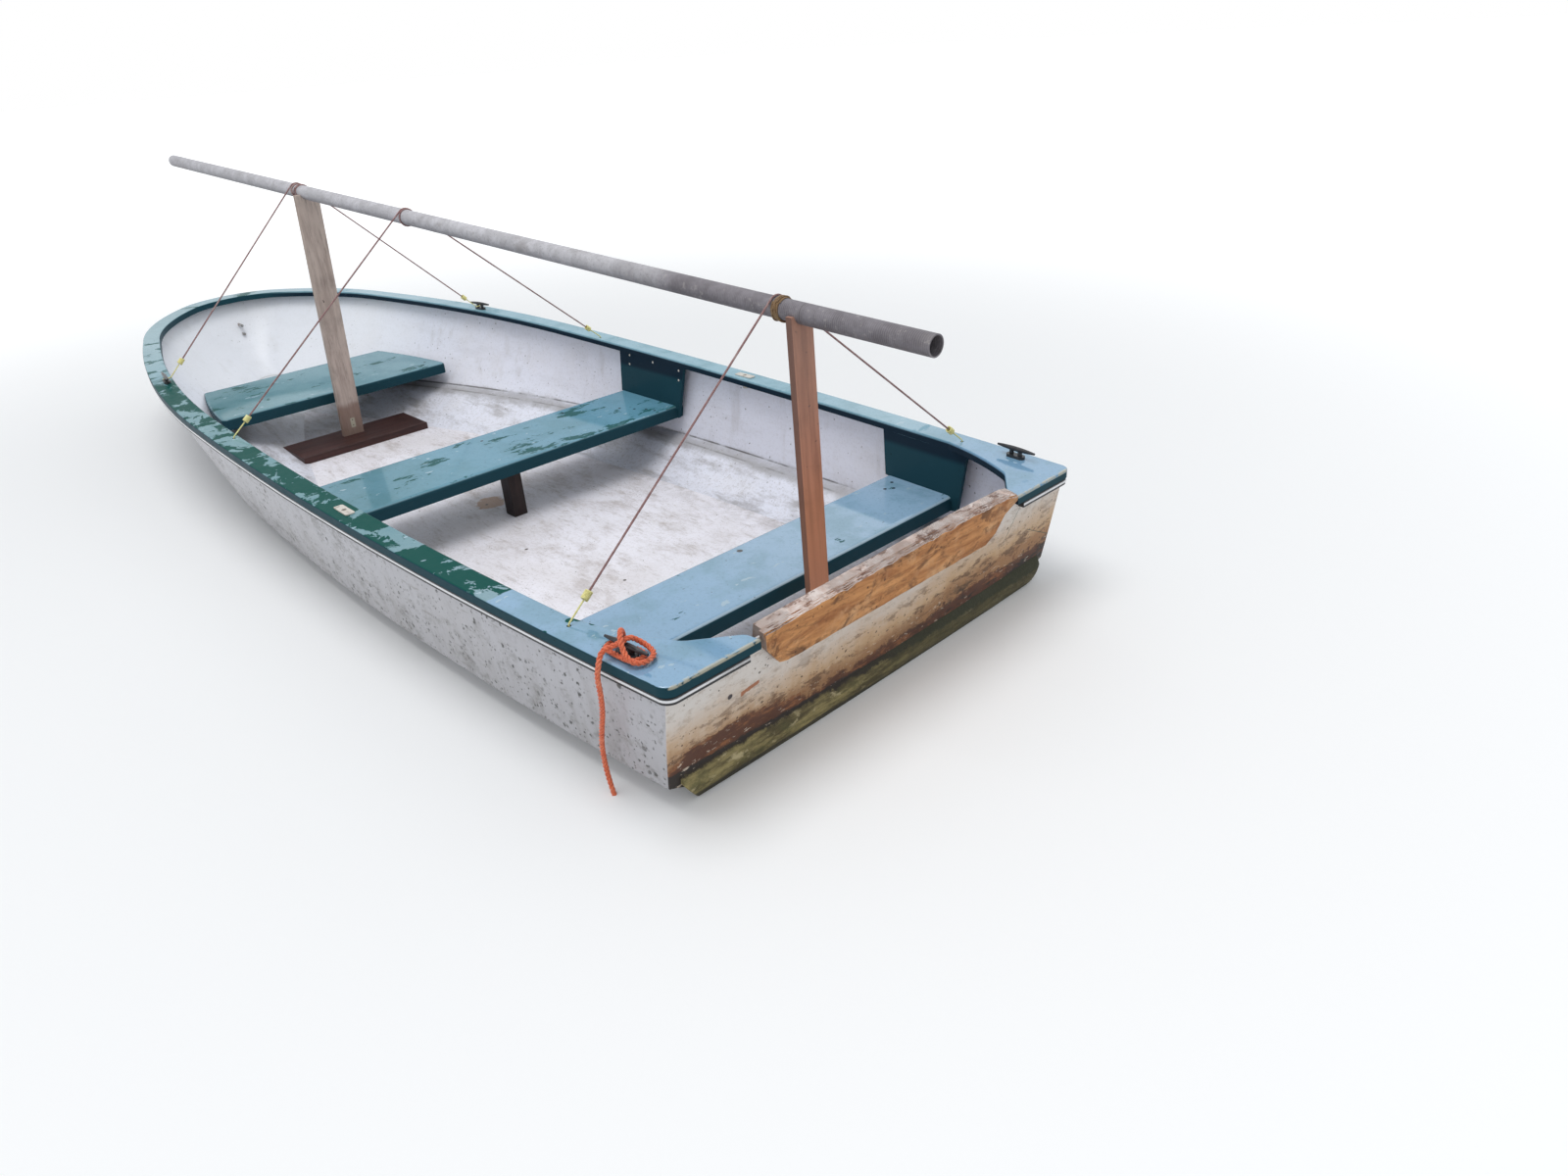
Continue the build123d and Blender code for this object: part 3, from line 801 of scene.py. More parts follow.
def transom_rust(f, fine, starboard):
    along = f.noise(12, 6, 0.75, (1, 0.3, 1))
    runs = f.noise(26, 5, 0.7, (0.4, 1, 0.25))
    port = f.ease(abs(f.y - 0.5), 0.28, 0.08)
    f.lay(0.8, STERN_BUFF)
    f.lay(f.ease(fine, 0.5, 0.64) * 0.48, BROWN_GRAIN)
    level = f.z + (along - 0.5) * 0.13 + (runs - 0.5) * 0.06 + (fine - 0.5) * 0.05
    warm = f.ease(level - starboard * 0.04, 0.27, 0.12)
    f.lay(warm * 0.88, OCHRE)
    amber = f.ease(level - port * 0.03 - starboard * 0.04, 0.15, 0.094)
    f.lay(amber * 0.8, AMBER)
    stains = f.patches(0.52, 0.6, 24, 6, 0.78, (1, 0.45, 1.2)) * warm
    f.lay(stains * 0.75, STAIN)
    deep = f.ease(level - port * 0.052 - starboard * 0.024, 0.092, 0.08)
    f.lay(deep * 0.95, RUST)
    fibres = f.patches(0.52, 0.62, 30, 6, 0.8, (1, 0.24, 1)) * deep
    f.lay(fibres * 0.75, FIBRE)
    return level, warm

# %% [markdown]
# Over the rust come the marks: a tar-black crust to starboard, a dark band
# along the foot that is moss and painted shadow of the gap above the foot, pale
# flakes, specks, two scribed lines and a torn strip. A straight mark is a
# narrow band round a sum of y and z.

# %% Marks on the transom
TAR_AND_SHADOW = (0.022, 0.016, 0.013)
MOSS_AND_SHADOW = (0.03, 0.034, 0.016)
FLAKE = (0.66, 0.56, 0.45)
CRUST = (0.06, 0.035, 0.02)
SCRIBED = (0.03, 0.07, 0.05)
TORN = (0.36, 0.115, 0.04)


def transom_face(f):
    fine = f.noise(56, 6, 0.8, (1, 0.5, 1))
    starboard = f.ease(f.y, 0.0, -0.34)
    level, warm = transom_rust(f, fine, starboard)
    burnt = f.patches(0.47, 0.54, 9, 6, 0.8, (1, 0.45, 1.4))
    burnt = burnt * f.ease(f.z + (fine - 0.5) * 0.06, 0.15, 0.11) * (starboard * 0.95 + 0.1)
    f.lay(burnt * 0.95, TAR_AND_SHADOW)
    # Painted shadow: a dark band on the transom just above the foot, black to starboard, moss-coloured to
    # port.
    rim = (f.y | 0) * 0.045 + 0.058
    f.lay(f.ease(f.z + (fine - 0.5) * 0.03 - rim, 0.006, 0.0), f.mix(starboard, TAR_AND_SHADOW, MOSS_AND_SHADOW))
    flakes = f.patches(0.605, 0.635, 70, 5, 0.75, (1, 0.35, 1)) * f.ease(level, 0.16, 0.11)
    f.lay(flakes * 0.8, FLAKE)
    crust = f.specks(60, 0.26) | f.specks(26, 0.16) | f.specks(120, 0.3) * warm
    f.lay(crust * 0.88, CRUST)
    scribed = f.near(f.z * 0.43 + f.y * 0.9, -0.3157, 0.0012) * f.near(f.z, 0.25, 0.058, 0.05)
    scribed = scribed | f.near(f.z * 0.895 - f.y * 0.447, 0.4192, 0.0012) * f.near(f.y, -0.622, 0.07, 0.05)
    f.lay(scribed * 0.8, SCRIBED)
    strip = f.y * -0.14 + 0.271
    torn = f.near(f.uneven(f.z, 0.012, 55, 4, 0.7), strip, 0.0062) * f.near(f.y, 0.455, 0.028, 0.15)
    f.lay(torn * 0.9, TORN)

# %% [markdown]
# The three sets of coats start from one ground, and masks choose between them.
# A point is outside when its normal points away from the middle of the boat,
# when it lies in the transom's plane, or when it faces down.

# %% Hull finish
WHITE = (0.83, 0.84, 0.93)
CREAM = (0.76, 0.74, 0.76)
CORNER_WHITE = (0.82, 0.81, 0.82)
TRANSOM_HOLE_SHADE = (0.05, 0.04, 0.045)
TRANSOM_FOOT_X = -2.088 + RAKE * 0.334
TRANSOM_HOLE = ((-2.067, 0.511, 0.214),)


def painted(f, ground, part):
    f.colour = ground
    part(f)
    return f.colour


f = Finish("hull_gelcoat", coat_roughness=0.15)
transom = f.ease(f.x + f.z * RAKE, TRANSOM_FOOT_X + 0.004, TRANSOM_FOOT_X + 0.002)
outward = f.facing(f.stretched((0.35, 1, 0)))
outside = f.ease(outward, -0.02, 0.02) | transom | f.ease(f.facing(UP), -0.2, -0.4)
ground = f.mix(f.patches(0.42, 0.75, 3.0, 4, 0.6) * 0.5, WHITE, CREAM)
inner, outer, stern = (painted(f, ground, part) for part in (inner_skin, topsides, transom_face))
f.colour = f.mix(outside, inner, outer)
f.lay(transom, stern)
corner = f.near(f.facing(AFT), 0.55, 0.4, 0.5) * f.ease(f.x, -2.0, -2.03)
f.lay(corner * 0.75, CORNER_WHITE)
# Painted shade: a hole in the transom as a dark disc.
f.lay(f.dots(TRANSOM_HOLE, 0.0075), TRANSOM_HOLE_SHADE)
f.feed(roughness=f.noise(20, 3) * 0.25 + 0.25 + transom * 0.25, coat_weight=0.15 - transom * 0.13)
f.relief(f.noise(34, 4, 0.6) + f.specks(62, 0.34) * 0.3, 0.0007)
f.on("hull_shell", "keel_strip", "bilge_runners")

# %% [markdown]
# The floor is the same white laminate, but wear and damp have left brown dirt
# in it. Wide clouds of dirt are laid first, then fine crumbs, then a ring of
# rust beside the timber prop.

# %% Floor finish
FLOOR_WHITE = (0.93, 0.91, 0.97)
FLOOR_GREY = (0.82, 0.79, 0.82)
SOIL = (0.36, 0.29, 0.25)
FLOOR_SCUFF = (0.3, 0.24, 0.2)
FLOOR_GRAIN = (0.38, 0.32, 0.28)
CRUMB = (0.16, 0.12, 0.09)
SPOT = (0.1, 0.08, 0.06)
EDGE_DIRT = (0.25, 0.21, 0.18)
RUST_RING = (0.4, 0.19, 0.07)
FLOOR_HOLE_SHADE = (0.06, 0.04, 0.03)
PROP_STAIN = (-0.2, 0.014, -0.042)
FLOOR_DOTS = ((-0.64, 0.14, -0.042), (-1.067, 0.064, -0.042), (-0.205, 0.03, -0.042))

f = Finish("floor_gelcoat", coat_roughness=0.25)
f.colour = f.mix(f.patches(0.4, 0.7, 2.2, 4, 0.6), FLOOR_WHITE, FLOOR_GREY)
centre = f.ease(abs(f.y + 0.1), 0.55, 0.15)
soil = f.patches(0.47, 0.7, 8.0, 7, 0.8, (0.6, 1.2, 1))
f.lay(soil * (centre * 0.4 + 0.16), SOIL)
f.lay(f.patches(0.52, 0.66, 34, 6, 0.85, (0.25, 1, 1)) * 0.38, FLOOR_SCUFF)
f.lay(f.patches(0.5, 0.62, 95, 5, 0.85) * 0.24, FLOOR_GRAIN)
crumbs = f.specks(150, 0.36) * f.patches(0.42, 0.62, 6, 3, 0.6)
f.lay(crumbs * 0.75, CRUMB)
f.lay(f.specks(38, 0.13) * 0.85, SPOT)
rim = f.ease(abs(f.y), 0.4, 0.54) * f.patches(0.4, 0.62, 12, 5, 0.7)
f.lay(rim * 0.55, EDGE_DIRT)
ring = f.ease(f.uneven(f.away(PROP_STAIN), 0.07, 26, 5, 0.7), 0.058, 0.045)
f.lay(ring * 0.85, RUST_RING)
# Painted shade: small holes in the floor as dark discs.
f.lay(f.dots(FLOOR_DOTS, 0.006), FLOOR_HOLE_SHADE)
f.feed(roughness=f.noise(12, 4) * 0.3 + 0.35, coat_weight=0.1)
f.relief(f.noise(45, 4, 0.6), 0.0008)
f.on("floor_pan")

# %% [markdown]
# ## Dark green gelcoat
# The cap, the seats and the knees are dark green and wet. Where a film of rain
# lies, the colour is a painted reflection of the blue-grey sky, and where the
# film has drawn back the deep green shows, with crisp edges between. The film
# covers the stern, the bow, the starboard side and most of the seats, and
# along the port side only patches of it are left.

# %% Where the film lies
DARK_DROPS = ((-1.741, 0.722, 0.336), (-1.752, 0.64, 0.336), (-1.79, 0.628, 0.336), (-1.742, 0.655, 0.336))


def film_masks(f):
    """The cap, its bare run to port, and where the film is whole."""
    edge = f.noise(9.0, 6, 0.68, distortion=0.5)
    cap = f.ease(f.z, 0.27, 0.29)
    port_run = f.ease(f.y, 0.3, 0.34) * f.ease(f.x + (edge - 0.5) * 0.03, -1.53, -1.524)
    port_run = cap * port_run * f.ease(f.x + (edge - 0.5) * 0.5, 0.95, 0.8)
    patches = f.ease(edge + f.near(f.x, 0.0, 0.6, 0.8) * 0.06, 0.548, 0.561)
    middle_seat = f.near(f.x, -0.29, 0.3, 0.2) * (1 - cap)
    stern = f.ease(f.x, -1.2, -1.4)
    smear = f.noise(11, 6, 0.68, (1, 0.38, 1)) + middle_seat * 0.022 - stern * 0.06
    streak = f.ease(smear, 0.585, 0.6)
    bare = port_run * (1 - patches) | streak * (1 - port_run) * 0.85
    return cap, port_run, stern, 1 - (bare | f.dots(DARK_DROPS, 0.011))

# %% [markdown]
# The film's colour is painted reflection: it mirrors different parts of the
# sky along the boat, with painted glare on the stern seat, and is thinner or
# cloudy in places. Its colour is built up in coats of its own.

# %% Colour of the film
SKY_REFLECTION_BLUE = (0.205, 0.375, 0.55)
SKY_REFLECTION_TEAL = (0.135, 0.32, 0.43)
PAINTED_SKY_GLARE = (0.3, 0.46, 0.62)
SKY_REFLECTION_PALE = (0.185, 0.355, 0.41)
SKY_REFLECTION_BRIGHT = (0.26, 0.44, 0.52)
SKY_REFLECTION_PORT = (0.135, 0.27, 0.27)
CLOUD_REFLECTION = (0.075, 0.225, 0.275)
SKY_REFLECTION_GRAIN = (0.05, 0.13, 0.16)
THIN_REFLECTION_GREEN = (0.02, 0.14, 0.135)


# Painted reflection: the sky's colours as the wet film shows them.
def painted_sky_reflection(f, cap, port_run, stern):
    f.colour = f.mix(f.ease(f.x, -0.6, -1.5), SKY_REFLECTION_TEAL, SKY_REFLECTION_BLUE)
    f.lay(stern * f.ease(f.y, 0.35, -0.25) * (1 - cap) * 0.85, PAINTED_SKY_GLARE)
    f.lay(f.ease(f.x, 0.6, 1.1), SKY_REFLECTION_PALE)
    f.lay(cap * f.ease(f.y, -0.1, -0.4) * f.ease(f.x, -1.9, -1.5) * 0.9, SKY_REFLECTION_BRIGHT)
    f.lay(port_run * 0.7, SKY_REFLECTION_PORT)
    f.lay(f.patches(0.44, 0.64, 5.5, 5, 0.65) * 0.42, CLOUD_REFLECTION)
    f.lay(f.patches(0.52, 0.64, 120, 4, 0.8) * 0.22, SKY_REFLECTION_GRAIN)
    thin = f.ease(f.uneven(f.y, 0.55, 4.5, 5, 0.7), 0.02, 0.36) * (1 - cap) * f.ease(f.x, -0.9, -0.6)
    f.lay(thin * 0.3, THIN_REFLECTION_GREEN)
    return f.colour

# %% [markdown]
# Last comes the paint itself: deep green, with painted shade on the lips and
# side faces, darkest on the starboard cap's inner lip, then the film's painted
# sky reflection, painted highlights on the seats' rounded edges and on drops,
# rubbed and chipped places, black dots, and holes painted as dark discs of
# shade. The film is smoother than paint, so it drives the clear coat too.

# %% Green finish
DEEP_GREEN = (0.004, 0.076, 0.064)
LIP_SHADE_GREEN = (0.014, 0.055, 0.074)
LIP_DEEP_SHADE = (0.008, 0.022, 0.038)
PAINTED_GLINT = (0.46, 0.62, 0.72)
DROP_HIGHLIGHT = (0.36, 0.5, 0.58)
RUBBED = (0.26, 0.33, 0.33)
PINHOLE = (0.008, 0.022, 0.022)
CHIPPED = (0.48, 0.46, 0.36)
BORE_SHADE = (0.003, 0.003, 0.003)
SEAT_Z = 0.17
SEAT_DOTS = [(x, y, SEAT_Z) for x, y in (
    (-1.54, -0.621), (-1.557, -0.569), (-1.573, -0.59), (-0.154, -0.026), (-0.137, -0.38), (-0.267, -0.548),
    (-0.322, -0.576), (-0.361, -0.601), (-0.401, -0.61))] + [(1.042, -0.427, 0.158)]
SEAT_HOLE = ((-1.523, -0.011, SEAT_Z),)

f = Finish("green_gelcoat", coat_roughness=0.07, coat_ior=1.9, specular_ior_level=0.04)
cap, port_run, stern, whole = film_masks(f)
upward = f.ease(f.facing(UP), 0.55, 0.85)
wet = whole * upward
sky_reflection = painted_sky_reflection(f, cap, port_run, stern)
level = f.z - (f.x * f.x * SHEER[2] + f.x * SHEER[1])
# Painted shade: lips and side faces a darker, bluer green, darkest on the starboard cap's inner lip.
starboard = cap * f.ease(f.y, -0.1, -0.3)
shaded_lip = f.mix(starboard * f.ease(f.facing(PORT), 0.3, 0.7), LIP_SHADE_GREEN, LIP_DEEP_SHADE)
f.colour = f.mix(upward, shaded_lip, DEEP_GREEN)
# The film's painted sky reflection, on wet tops and on the starboard cap's rounded top.
f.lay(wet | f.ease(level, 0.349, 0.3535) * starboard * 0.9, sky_reflection)
# Painted highlight along the seats' rounded edges, strongest on the stern seat.
f.lay(f.near(f.facing(UP), 0.72, 0.24, 0.6) * (1 - cap) * (stern * 0.55 + 0.12), PAINTED_GLINT)
# Painted highlights: small pale spots of sky on water drops.
drops = f.patches(0.675, 0.69, 34, 3, 0.6, (1, 0.5, 1)) * upward
f.lay(drops * 0.75, DROP_HIGHLIGHT)
rubbed = f.patches(0.6, 0.76, 45, 5, 0.7, (0.3, 1, 1))
f.lay(rubbed * (f.ease(f.x, -0.6, 0.6) * 0.16 + 0.03), RUBBED)
f.lay(f.specks(60, 0.16) * 0.7, PINHOLE)
chipped = f.patches(0.4, 0.52, 60, 5, 0.75, (1, 0.5, 1))
stern_edge = f.ease(f.x, -2.093, -2.0955) * f.ease(level, 0.35, 0.3525)
f.lay(stern_edge * chipped * 0.85, CHIPPED)
f.lay(f.dots(SEAT_DOTS, 0.0062), BLACK)
# Painted shade: the seat's hole is a dark disc.
f.lay(f.dots(SEAT_HOLE, 0.0095), BORE_SHADE)
gloss = f.ease(f.x, -0.9, -1.5) * 0.45 + f.ease(f.x, 0.8, 1.4) * cap * 0.3 + 0.4
f.feed(roughness=f.noise(40, 3) * 0.2 + 0.3, coat_weight=wet * gloss + 0.02)
f.relief(wet * 0.35 + f.noise(7, 3, 0.5) * 0.8 + drops * 0.5, 0.0008)
f.on("gunwale_cap", "bow_thwart", "middle_thwart", "stern_thwart", "middle_knees", "stern_knees")

# %% [markdown]
# ## Timber
# Four bare timbers are aboard: a grey weathered board and a brown post that
# carry the pipe, and a dark oiled prop and plank. Grain is noise squeezed
# across the wood and drawn out along it, so one recipe serves them all, with
# the colours and the way of the grain as its values.

# %% Timber recipe
KNOT = (0.02, 0.014, 0.01)
SHADE = 0.45


def timber(name, pale, dark, grain, rough=0.6):
    f = Finish(name, specular_ior_level=0.3)
    lines = f.noise(1.0, 6, 0.65, grain, distortion=0.6)
    fine = f.noise(3.2, 4, 0.7, grain)
    shade = tuple(c * SHADE for c in dark)
    f.colour = f.mix(f.ease(lines, 0.38, 0.66), pale, dark)
    f.lay(f.ease(fine, 0.52, 0.72) * 0.55, shade)
    f.lay(f.patches(0.48, 0.72, 6.0, 5, 0.65) * 0.45, shade)
    f.lay(f.specks(30, 0.15) * 0.85, KNOT)
    f.feed(roughness=f.noise(14, 3) * 0.2 + rough)
    f.relief(lines + fine * 0.7, 0.0009)
    return f


timber("oiled_plank", (0.068, 0.028, 0.024), (0.034, 0.015, 0.014), (40, 2.2, 40), 0.4).on("step_plank")
timber("oiled_prop", (0.03, 0.016, 0.014), (0.014, 0.008, 0.008), (40, 40, 2.2), 0.45).on("thwart_prop")

# %% [markdown]
# The two posts have more coats. The grey board is soaked at its foot and wears
# a small pale plate with two pins. The brown post is fresher low down, greyer
# high up, and dark on its narrow edges.

# %% Posts
SOAKED = (0.2, 0.115, 0.085)
PLATE_CREAM = (0.5, 0.46, 0.36)
PLATE_DOTS = ((0.868, 0.02, 0.026), (0.866, 0.02, 0.049))
GREYED = (0.32, 0.225, 0.19)
FRESH = (0.72, 0.33, 0.18)
EDGE_BROWN = (0.075, 0.045, 0.04)

board = timber("grey_board", (0.56, 0.46, 0.4), (0.41, 0.325, 0.28), (45, 45, 1.6))
board.lay(board.ease(board.uneven(board.z, 0.06, 11, 4), 0.125, 0.095) * 0.7, SOAKED)
plate = board.near(board.y, 0.02, 0.011) * board.near(board.z, 0.037, 0.024)
board.lay(plate * board.ease(board.facing(AFT), 0.5, 0.8), PLATE_CREAM)
board.lay(board.dots(PLATE_DOTS, 0.0045), BLACK)
board.on("forward_post")
post = timber("brown_post", (0.58, 0.245, 0.145), (0.4, 0.155, 0.088), (50, 50, 1.5))
post.lay(post.ease(post.z, 0.25, 0.85) * 0.55, GREYED)
post.lay(post.ease(post.z, 0.55, 0.25) * 0.65, FRESH)
post.lay(post.ease(abs(post.facing(PORT)), 0.6, 0.9) * 0.65, EDGE_BROWN)
post.on("aft_post")

# %% [markdown]
# ## Ridge pipe
# The pipe is a grey tube, chalky and mottled from years outdoors. It is paler
# forward, and browner aft where a ribbed wrap has left fine marks round it.
# Its underside is darkened with painted shade.

# %% Pipe finish
CHALK = ((0.42, 0.41, 0.43), (0.54, 0.53, 0.56))
SLATE = ((0.135, 0.122, 0.138), (0.215, 0.2, 0.222))
RIB = (0.36, 0.33, 0.32)
LICHEN = (0.5, 0.47, 0.44)
PIPE_STAIN = (0.2, 0.175, 0.165)
PIT = (0.1, 0.09, 0.095)
PIPE_UNDER_SHADE = (0.12, 0.105, 0.105)
SLEEVE_LINE = (0.09, 0.08, 0.08)
RIB_RATE = 1150
SLEEVE_X = -1.826

f = Finish("weathered_pipe", specular_ior_level=0.3)
mottle = f.noise(22, 5, 0.65)
pale = f.mix(f.ease(mottle, 0.36, 0.68), *CHALK)
dark = f.mix(f.ease(mottle, 0.34, 0.66), *SLATE)
f.colour = f.mix(f.ease(f.uneven(f.x, 0.5, 4, 4), -1.1, -1.5), pale, dark)
ribs = f.maths("SINE", f.x * RIB_RATE)
f.lay(f.ease(ribs, 0.0, 1.0) * f.ease(f.x, -0.9, -1.5) * 0.3, RIB)
lichen = f.patches(0.57, 0.68, 70, 4, 0.7)
f.lay(lichen * 0.35, LICHEN)
f.lay(f.patches(0.52, 0.7, 8, 5, 0.7, (0.6, 1, 1)) * 0.45, PIPE_STAIN)
f.lay(f.patches(0.53, 0.62, 150, 4, 0.8) * 0.3, PIT)
# Painted shade: the underside of the pipe darkened.
f.lay(f.ease(f.facing(UP), 0.0, -0.8) * 0.45, PIPE_UNDER_SHADE)
f.lay(f.near(f.x, SLEEVE_X, 0.0022) * 0.6, SLEEVE_LINE)
f.feed(roughness=mottle * 0.25 + 0.5)
f.relief(mottle + lichen * 0.4 + ribs * 0.15, 0.0009)
f.on("ridge_pipe")

# %% [markdown]
# ## Rope, cords and coils
# The rope's strands carry fine yarns, the thin cords are braided, and the
# yellow coils are soft plastic line. Each is a main colour, broken up by
# darker marks in the twist and by faded places, and its relief catches the
# light.

# %% Line finishes
def line_finish(name, main, shade, worn, yarn, rough=0.7):
    f = Finish(name, roughness=rough, sheen_weight=0.2)
    twist = f.noise(yarn, 3, 0.6, distortion=1.5)
    f.colour = f.mix(f.ease(twist, 0.4, 0.62), main, shade)
    f.lay(f.patches(0.5, 0.72, 24, 4, 0.6) * 0.6, worn)
    f.relief(twist, 0.0006)
    return f


line_finish("orange_line", (0.88, 0.205, 0.085), (0.5, 0.075, 0.028), (0.92, 0.36, 0.22), 420).on("rope")
line_finish("red_cord", (0.36, 0.19, 0.18), (0.13, 0.065, 0.065), (0.46, 0.36, 0.34), 380).on(
    "forward_cord", "middle_cord", "aft_cord", "fore_winding")
line_finish("straw_cord", (0.3, 0.175, 0.07), (0.13, 0.07, 0.03), (0.38, 0.27, 0.14), 420).on("aft_winding")
line_finish("yellow_line", (0.9, 0.84, 0.36), (0.62, 0.56, 0.2), (0.92, 0.9, 0.62), 300, 0.5).on(
    "cord_coils", "cord_links")

# %% [markdown]
# ## Fittings
# The cleats are black plastic rubbed grey on the horns, the rowlock plates are
# pale nylon, and the bead under the cap is a bright strip in a black carrier.

# %% Fitting finishes
def plain_finish(name, colour, worn, rough, metallic=0.0, scale=40, amount=0.6):
    f = Finish(name, metallic=metallic)
    mark = f.patches(0.48, 0.68, scale, 5, 0.7)
    f.colour = f.mix(mark * amount, colour, worn)
    f.feed(roughness=mark * 0.2 + rough)
    f.relief(f.noise(scale * 3, 3), 0.0003)
    return f


plain_finish("black_plastic", (0.014, 0.014, 0.016), (0.07, 0.07, 0.075), 0.28).on(
    "bow_cleats", "quarter_cleats")
plain_finish("pale_nylon", (0.6, 0.56, 0.5), (0.24, 0.19, 0.16), 0.4).on("rowlock_sockets", "knee_screws")
plain_finish("plated_metal", (0.5, 0.48, 0.46), (0.26, 0.18, 0.14), 0.35, 0.85).on("bow_eye", "plate_screws")
plain_finish("black_rubber", (0.01, 0.01, 0.012), (0.035, 0.035, 0.04), 0.35).on("rail_carrier")
plain_finish("bright_strip", (0.8, 0.8, 0.82), (0.42, 0.41, 0.41), 0.2, 0.35, 30, 0.4).on("bright_bead")

# %% [markdown]
# ## Foot and board of the stern
# The foot is laminate under weed: fibres drawn out along it, chalk near the
# waterline, a dark band along its top, which is painted shadow of the gap at the
# transom, and slime below. Both follow a height that falls to starboard.

# %% Foot finish
FIBRE_DARK = (0.085, 0.068, 0.03)
FIBRE_PALE = (0.33, 0.27, 0.115)
WEED = (0.06, 0.064, 0.028)
FOOT_CHALK = (0.56, 0.47, 0.27)
FOOT_NIGHT = (0.04, 0.038, 0.02)
MOSS_AND_GAP_SHADOW = (0.034, 0.036, 0.018)
SLIME = (0.022, 0.022, 0.014)

f = Finish("weedy_foot", specular_ior_level=0.3)
weed = f.noise(13, 6, 0.72, (1, 0.8, 1.6))
fibre = f.noise(34, 5, 0.75, (1, 0.16, 1))
f.colour = f.mix(f.ease(fibre, 0.36, 0.62), FIBRE_DARK, FIBRE_PALE)
f.lay(f.ease(weed, 0.5, 0.66) * 0.6, WEED)
chalk = f.patches(0.56, 0.68, 34, 5, 0.7, (1, 0.5, 1)) * f.ease(f.z, 0.005, 0.03)
f.lay(chalk * 0.75, FOOT_CHALK)
starboard = f.ease(f.y + (weed - 0.5) * 0.5, 0.2, -0.2)
f.lay(starboard * 0.72, FOOT_NIGHT)
rim = f.ease(f.y, -0.2, 0.6) * 0.026 + 0.043
# Painted shadow: the foot's top darkened where it meets the transom.
dark_line = f.ease(f.uneven(f.z, 0.035, 20, 6, 0.75) - rim, -0.004, 0.004)
f.lay(dark_line * 0.95, f.mix(starboard, TAR_AND_SHADOW, MOSS_AND_GAP_SHADOW))
soaked = f.ease(f.y, -0.3, 0.6) * 0.014 + 0.005
f.lay(f.ease(f.z + (weed - 0.5) * 0.02 - soaked, 0.006, -0.004) * 0.9, SLIME)
f.feed(roughness=weed * 0.4 + 0.4)
f.relief(fibre + weed * 0.6 + f.noise(80, 4, 0.7) * 0.5, 0.004)
f.on("transom_foot")

# %% [markdown]
# The plywood has two looks: a stained brown face with grain along it, and raw
# pale edges where the plies part. The edge is found by its normal, and the
# cracks between plies by the depth into the board, one crack for each ply.

# %% Plywood finish
PLY_PALE = (0.66, 0.315, 0.115)
PLY_DARK = (0.34, 0.13, 0.045)
PLY_WORN = (0.7, 0.42, 0.22)
PLY_STAIN = (0.115, 0.046, 0.02)
PLY_FRAY = (0.085, 0.04, 0.022)
PLY_SPECK = (0.05, 0.025, 0.015)
RAW_PALE = (0.76, 0.67, 0.63)
RAW_BROWN = (0.58, 0.44, 0.38)
RAW_STREAK = (0.2, 0.105, 0.075)
RAW_CRACK = (0.05, 0.03, 0.025)
RAW_END = (0.2, 0.13, 0.1)


def raw_edge(f, dark_line):
    f.colour = f.mix(f.patches(0.35, 0.65, 30, 5, 0.7), RAW_PALE, RAW_BROWN)
    f.lay(f.patches(0.53, 0.6, 46, 5, 0.75, (1, 0.4, 1)) * 0.8, RAW_STREAK)
    f.lay(dark_line * 0.92, RAW_CRACK)
    f.lay(f.ease(abs(f.facing(PORT)), 0.45, 0.75) * 0.55, RAW_END)
    return f.colour


f = Finish("worn_plywood", specular_ior_level=0.3)
depth = f.uneven((f.x + f.z * RAKE - TRANSOM_FOOT_X) * (1 / PLY_WALL), 0.9, 14, 4, 0.7)
dark_line = f.near(f.maths("FRACT", depth), 0.5, 0.17, 0.5) * f.patches(0.4, 0.48, 13, 4, 0.65)
raw = raw_edge(f, dark_line)
grain = f.noise(1.0, 6, 0.65, (30, 6, 30), distortion=0.5)
f.colour = f.mix(f.ease(grain, 0.34, 0.66), PLY_PALE, PLY_DARK)
f.lay(f.patches(0.5, 0.66, 5, 5, 0.65) * 0.7, PLY_WORN)
f.lay(f.patches(0.5, 0.62, 11, 6, 0.72, (1, 1, 1.3), distortion=0.6) * 0.78, PLY_STAIN)
f.lay(f.patches(0.53, 0.6, 30, 6, 0.8, (1, 0.35, 1.3)) * 0.38, PLY_FRAY)
f.lay(f.specks(70, 0.26) * 0.85, PLY_SPECK)
edge = f.ease(abs(f.facing(OUT_OF_TRANSOM)), 0.8, 0.5)
f.lay(edge, raw)
f.feed(roughness=grain * 0.3 + 0.5)
f.relief(grain * 0.6 + f.noise(60, 5, 0.75) * (edge * 1.5 + 0.4) - dark_line * edge, 0.0016)
f.on("outer_board", "transom_pad_inner")

# %% [markdown]
# ## The studio
# The floor of the studio is plain and pale. Towards its far edge it fades to
# the white of the background, so that no horizon cuts the picture. The glow
# that does this is only for the camera and for mirror rays, and lights nothing.

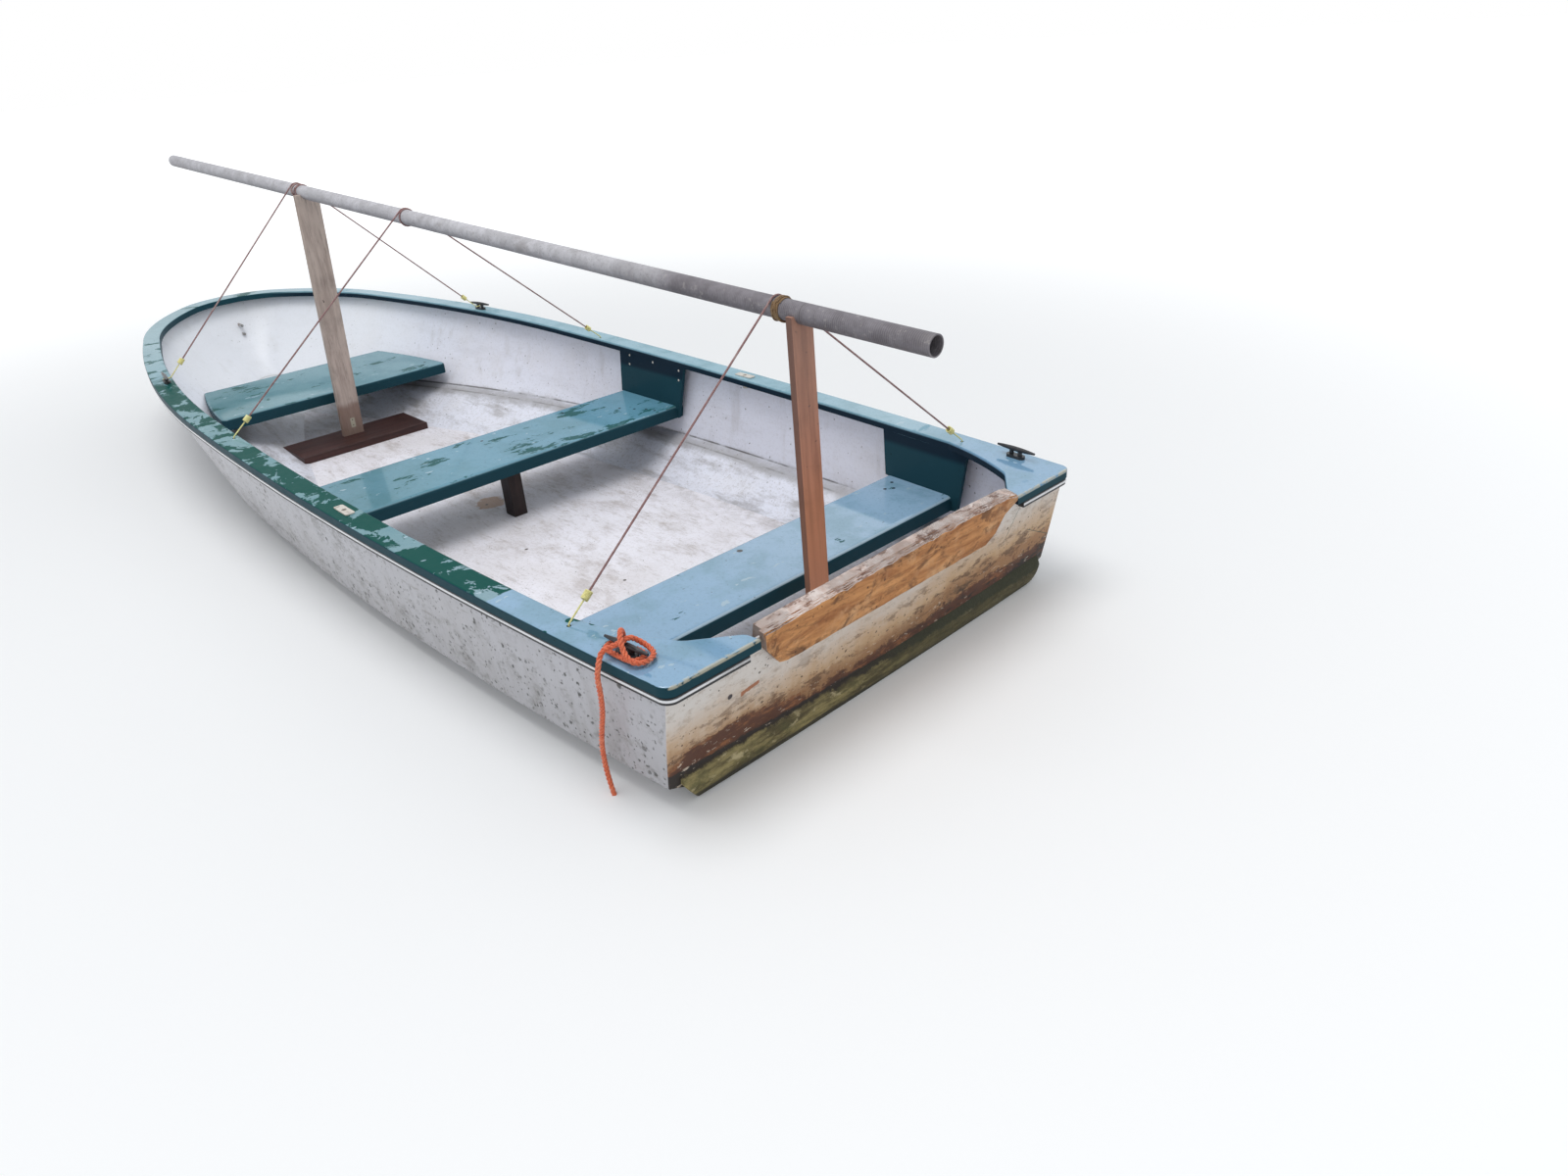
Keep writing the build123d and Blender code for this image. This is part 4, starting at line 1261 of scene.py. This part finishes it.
# %% Studio finish
STUDIO_WHITE = (0.88, 0.88, 0.88, 1)
GLOW = (0.58, 0.58, 0.58)


def seeing_rays(graph):
    """1 for the camera's rays, and 1 for mirror and clear rays too."""
    path = graph.node("LightPath", out=None)
    camera_ray, glossy, through = (
        Value(graph, path.outputs[f"Is {kind} Ray"]) for kind in ("Camera", "Glossy", "Transmission"))
    return camera_ray, camera_ray | glossy | through


f = Finish(
    "studio_floor_finish", base_color=STUDIO_WHITE, roughness=0.9, specular_ior_level=0.2,
    emission_strength=1.0)
far = f.vector("LENGTH", f.place, out="Value")
glow = f.ease(far, 1.2, 7.5) * seeing_rays(f)[1]
f.feed(emission_color=f.mix(glow, (0, 0, 0), GLOW))
f.on("studio_floor")

# %% [markdown]
# The light is that of a bright overcast day: a pale world all round and one
# large soft lamp overhead. The world is brighter to the camera and to mirror
# rays than to matt paint, so the background is white and wet paint shows a
# pale sky without more light on the boat. The Standard view keeps colours as
# they are set.

# %% World and lamp
WORLD_LIGHT = 0.72
SKY = (0.94, 0.97, 1.0)
WHITE_SKY = (1, 1, 1)
LAMP_PLACE = Vector((-0.6, 0.9, 5.6))
LAMP_TARGET = Vector((-0.3, 0, 0.2))
LAMP_SIZE = 3.6
LAMP_POWER = 130

world = bpy.data.worlds.new("overcast")
world.use_nodes = True
bpy.context.scene.world = world
bpy.context.scene.view_settings.view_transform = "Standard"
graph = Graph(world.node_tree)
camera_ray, bright = seeing_rays(graph)
background = graph.tree.nodes["Background"]
graph.join(graph.mix(camera_ray, SKY, WHITE_SKY), background.inputs["Color"])
graph.join(bright * (1 - WORLD_LIGHT) + WORLD_LIGHT, background.inputs["Strength"])
light = bpy.data.lights.new("sky_lamp", "AREA")
light.shape = "DISK"
light.size = LAMP_SIZE
light.energy = LAMP_POWER
lamp = new_object("sky_lamp", light)
lamp.location = LAMP_PLACE
lamp.rotation_euler = (LAMP_TARGET - LAMP_PLACE).to_track_quat("-Z", "Y").to_euler()
print("world light", WORLD_LIGHT, "and a lamp of", LAMP_POWER, "W")
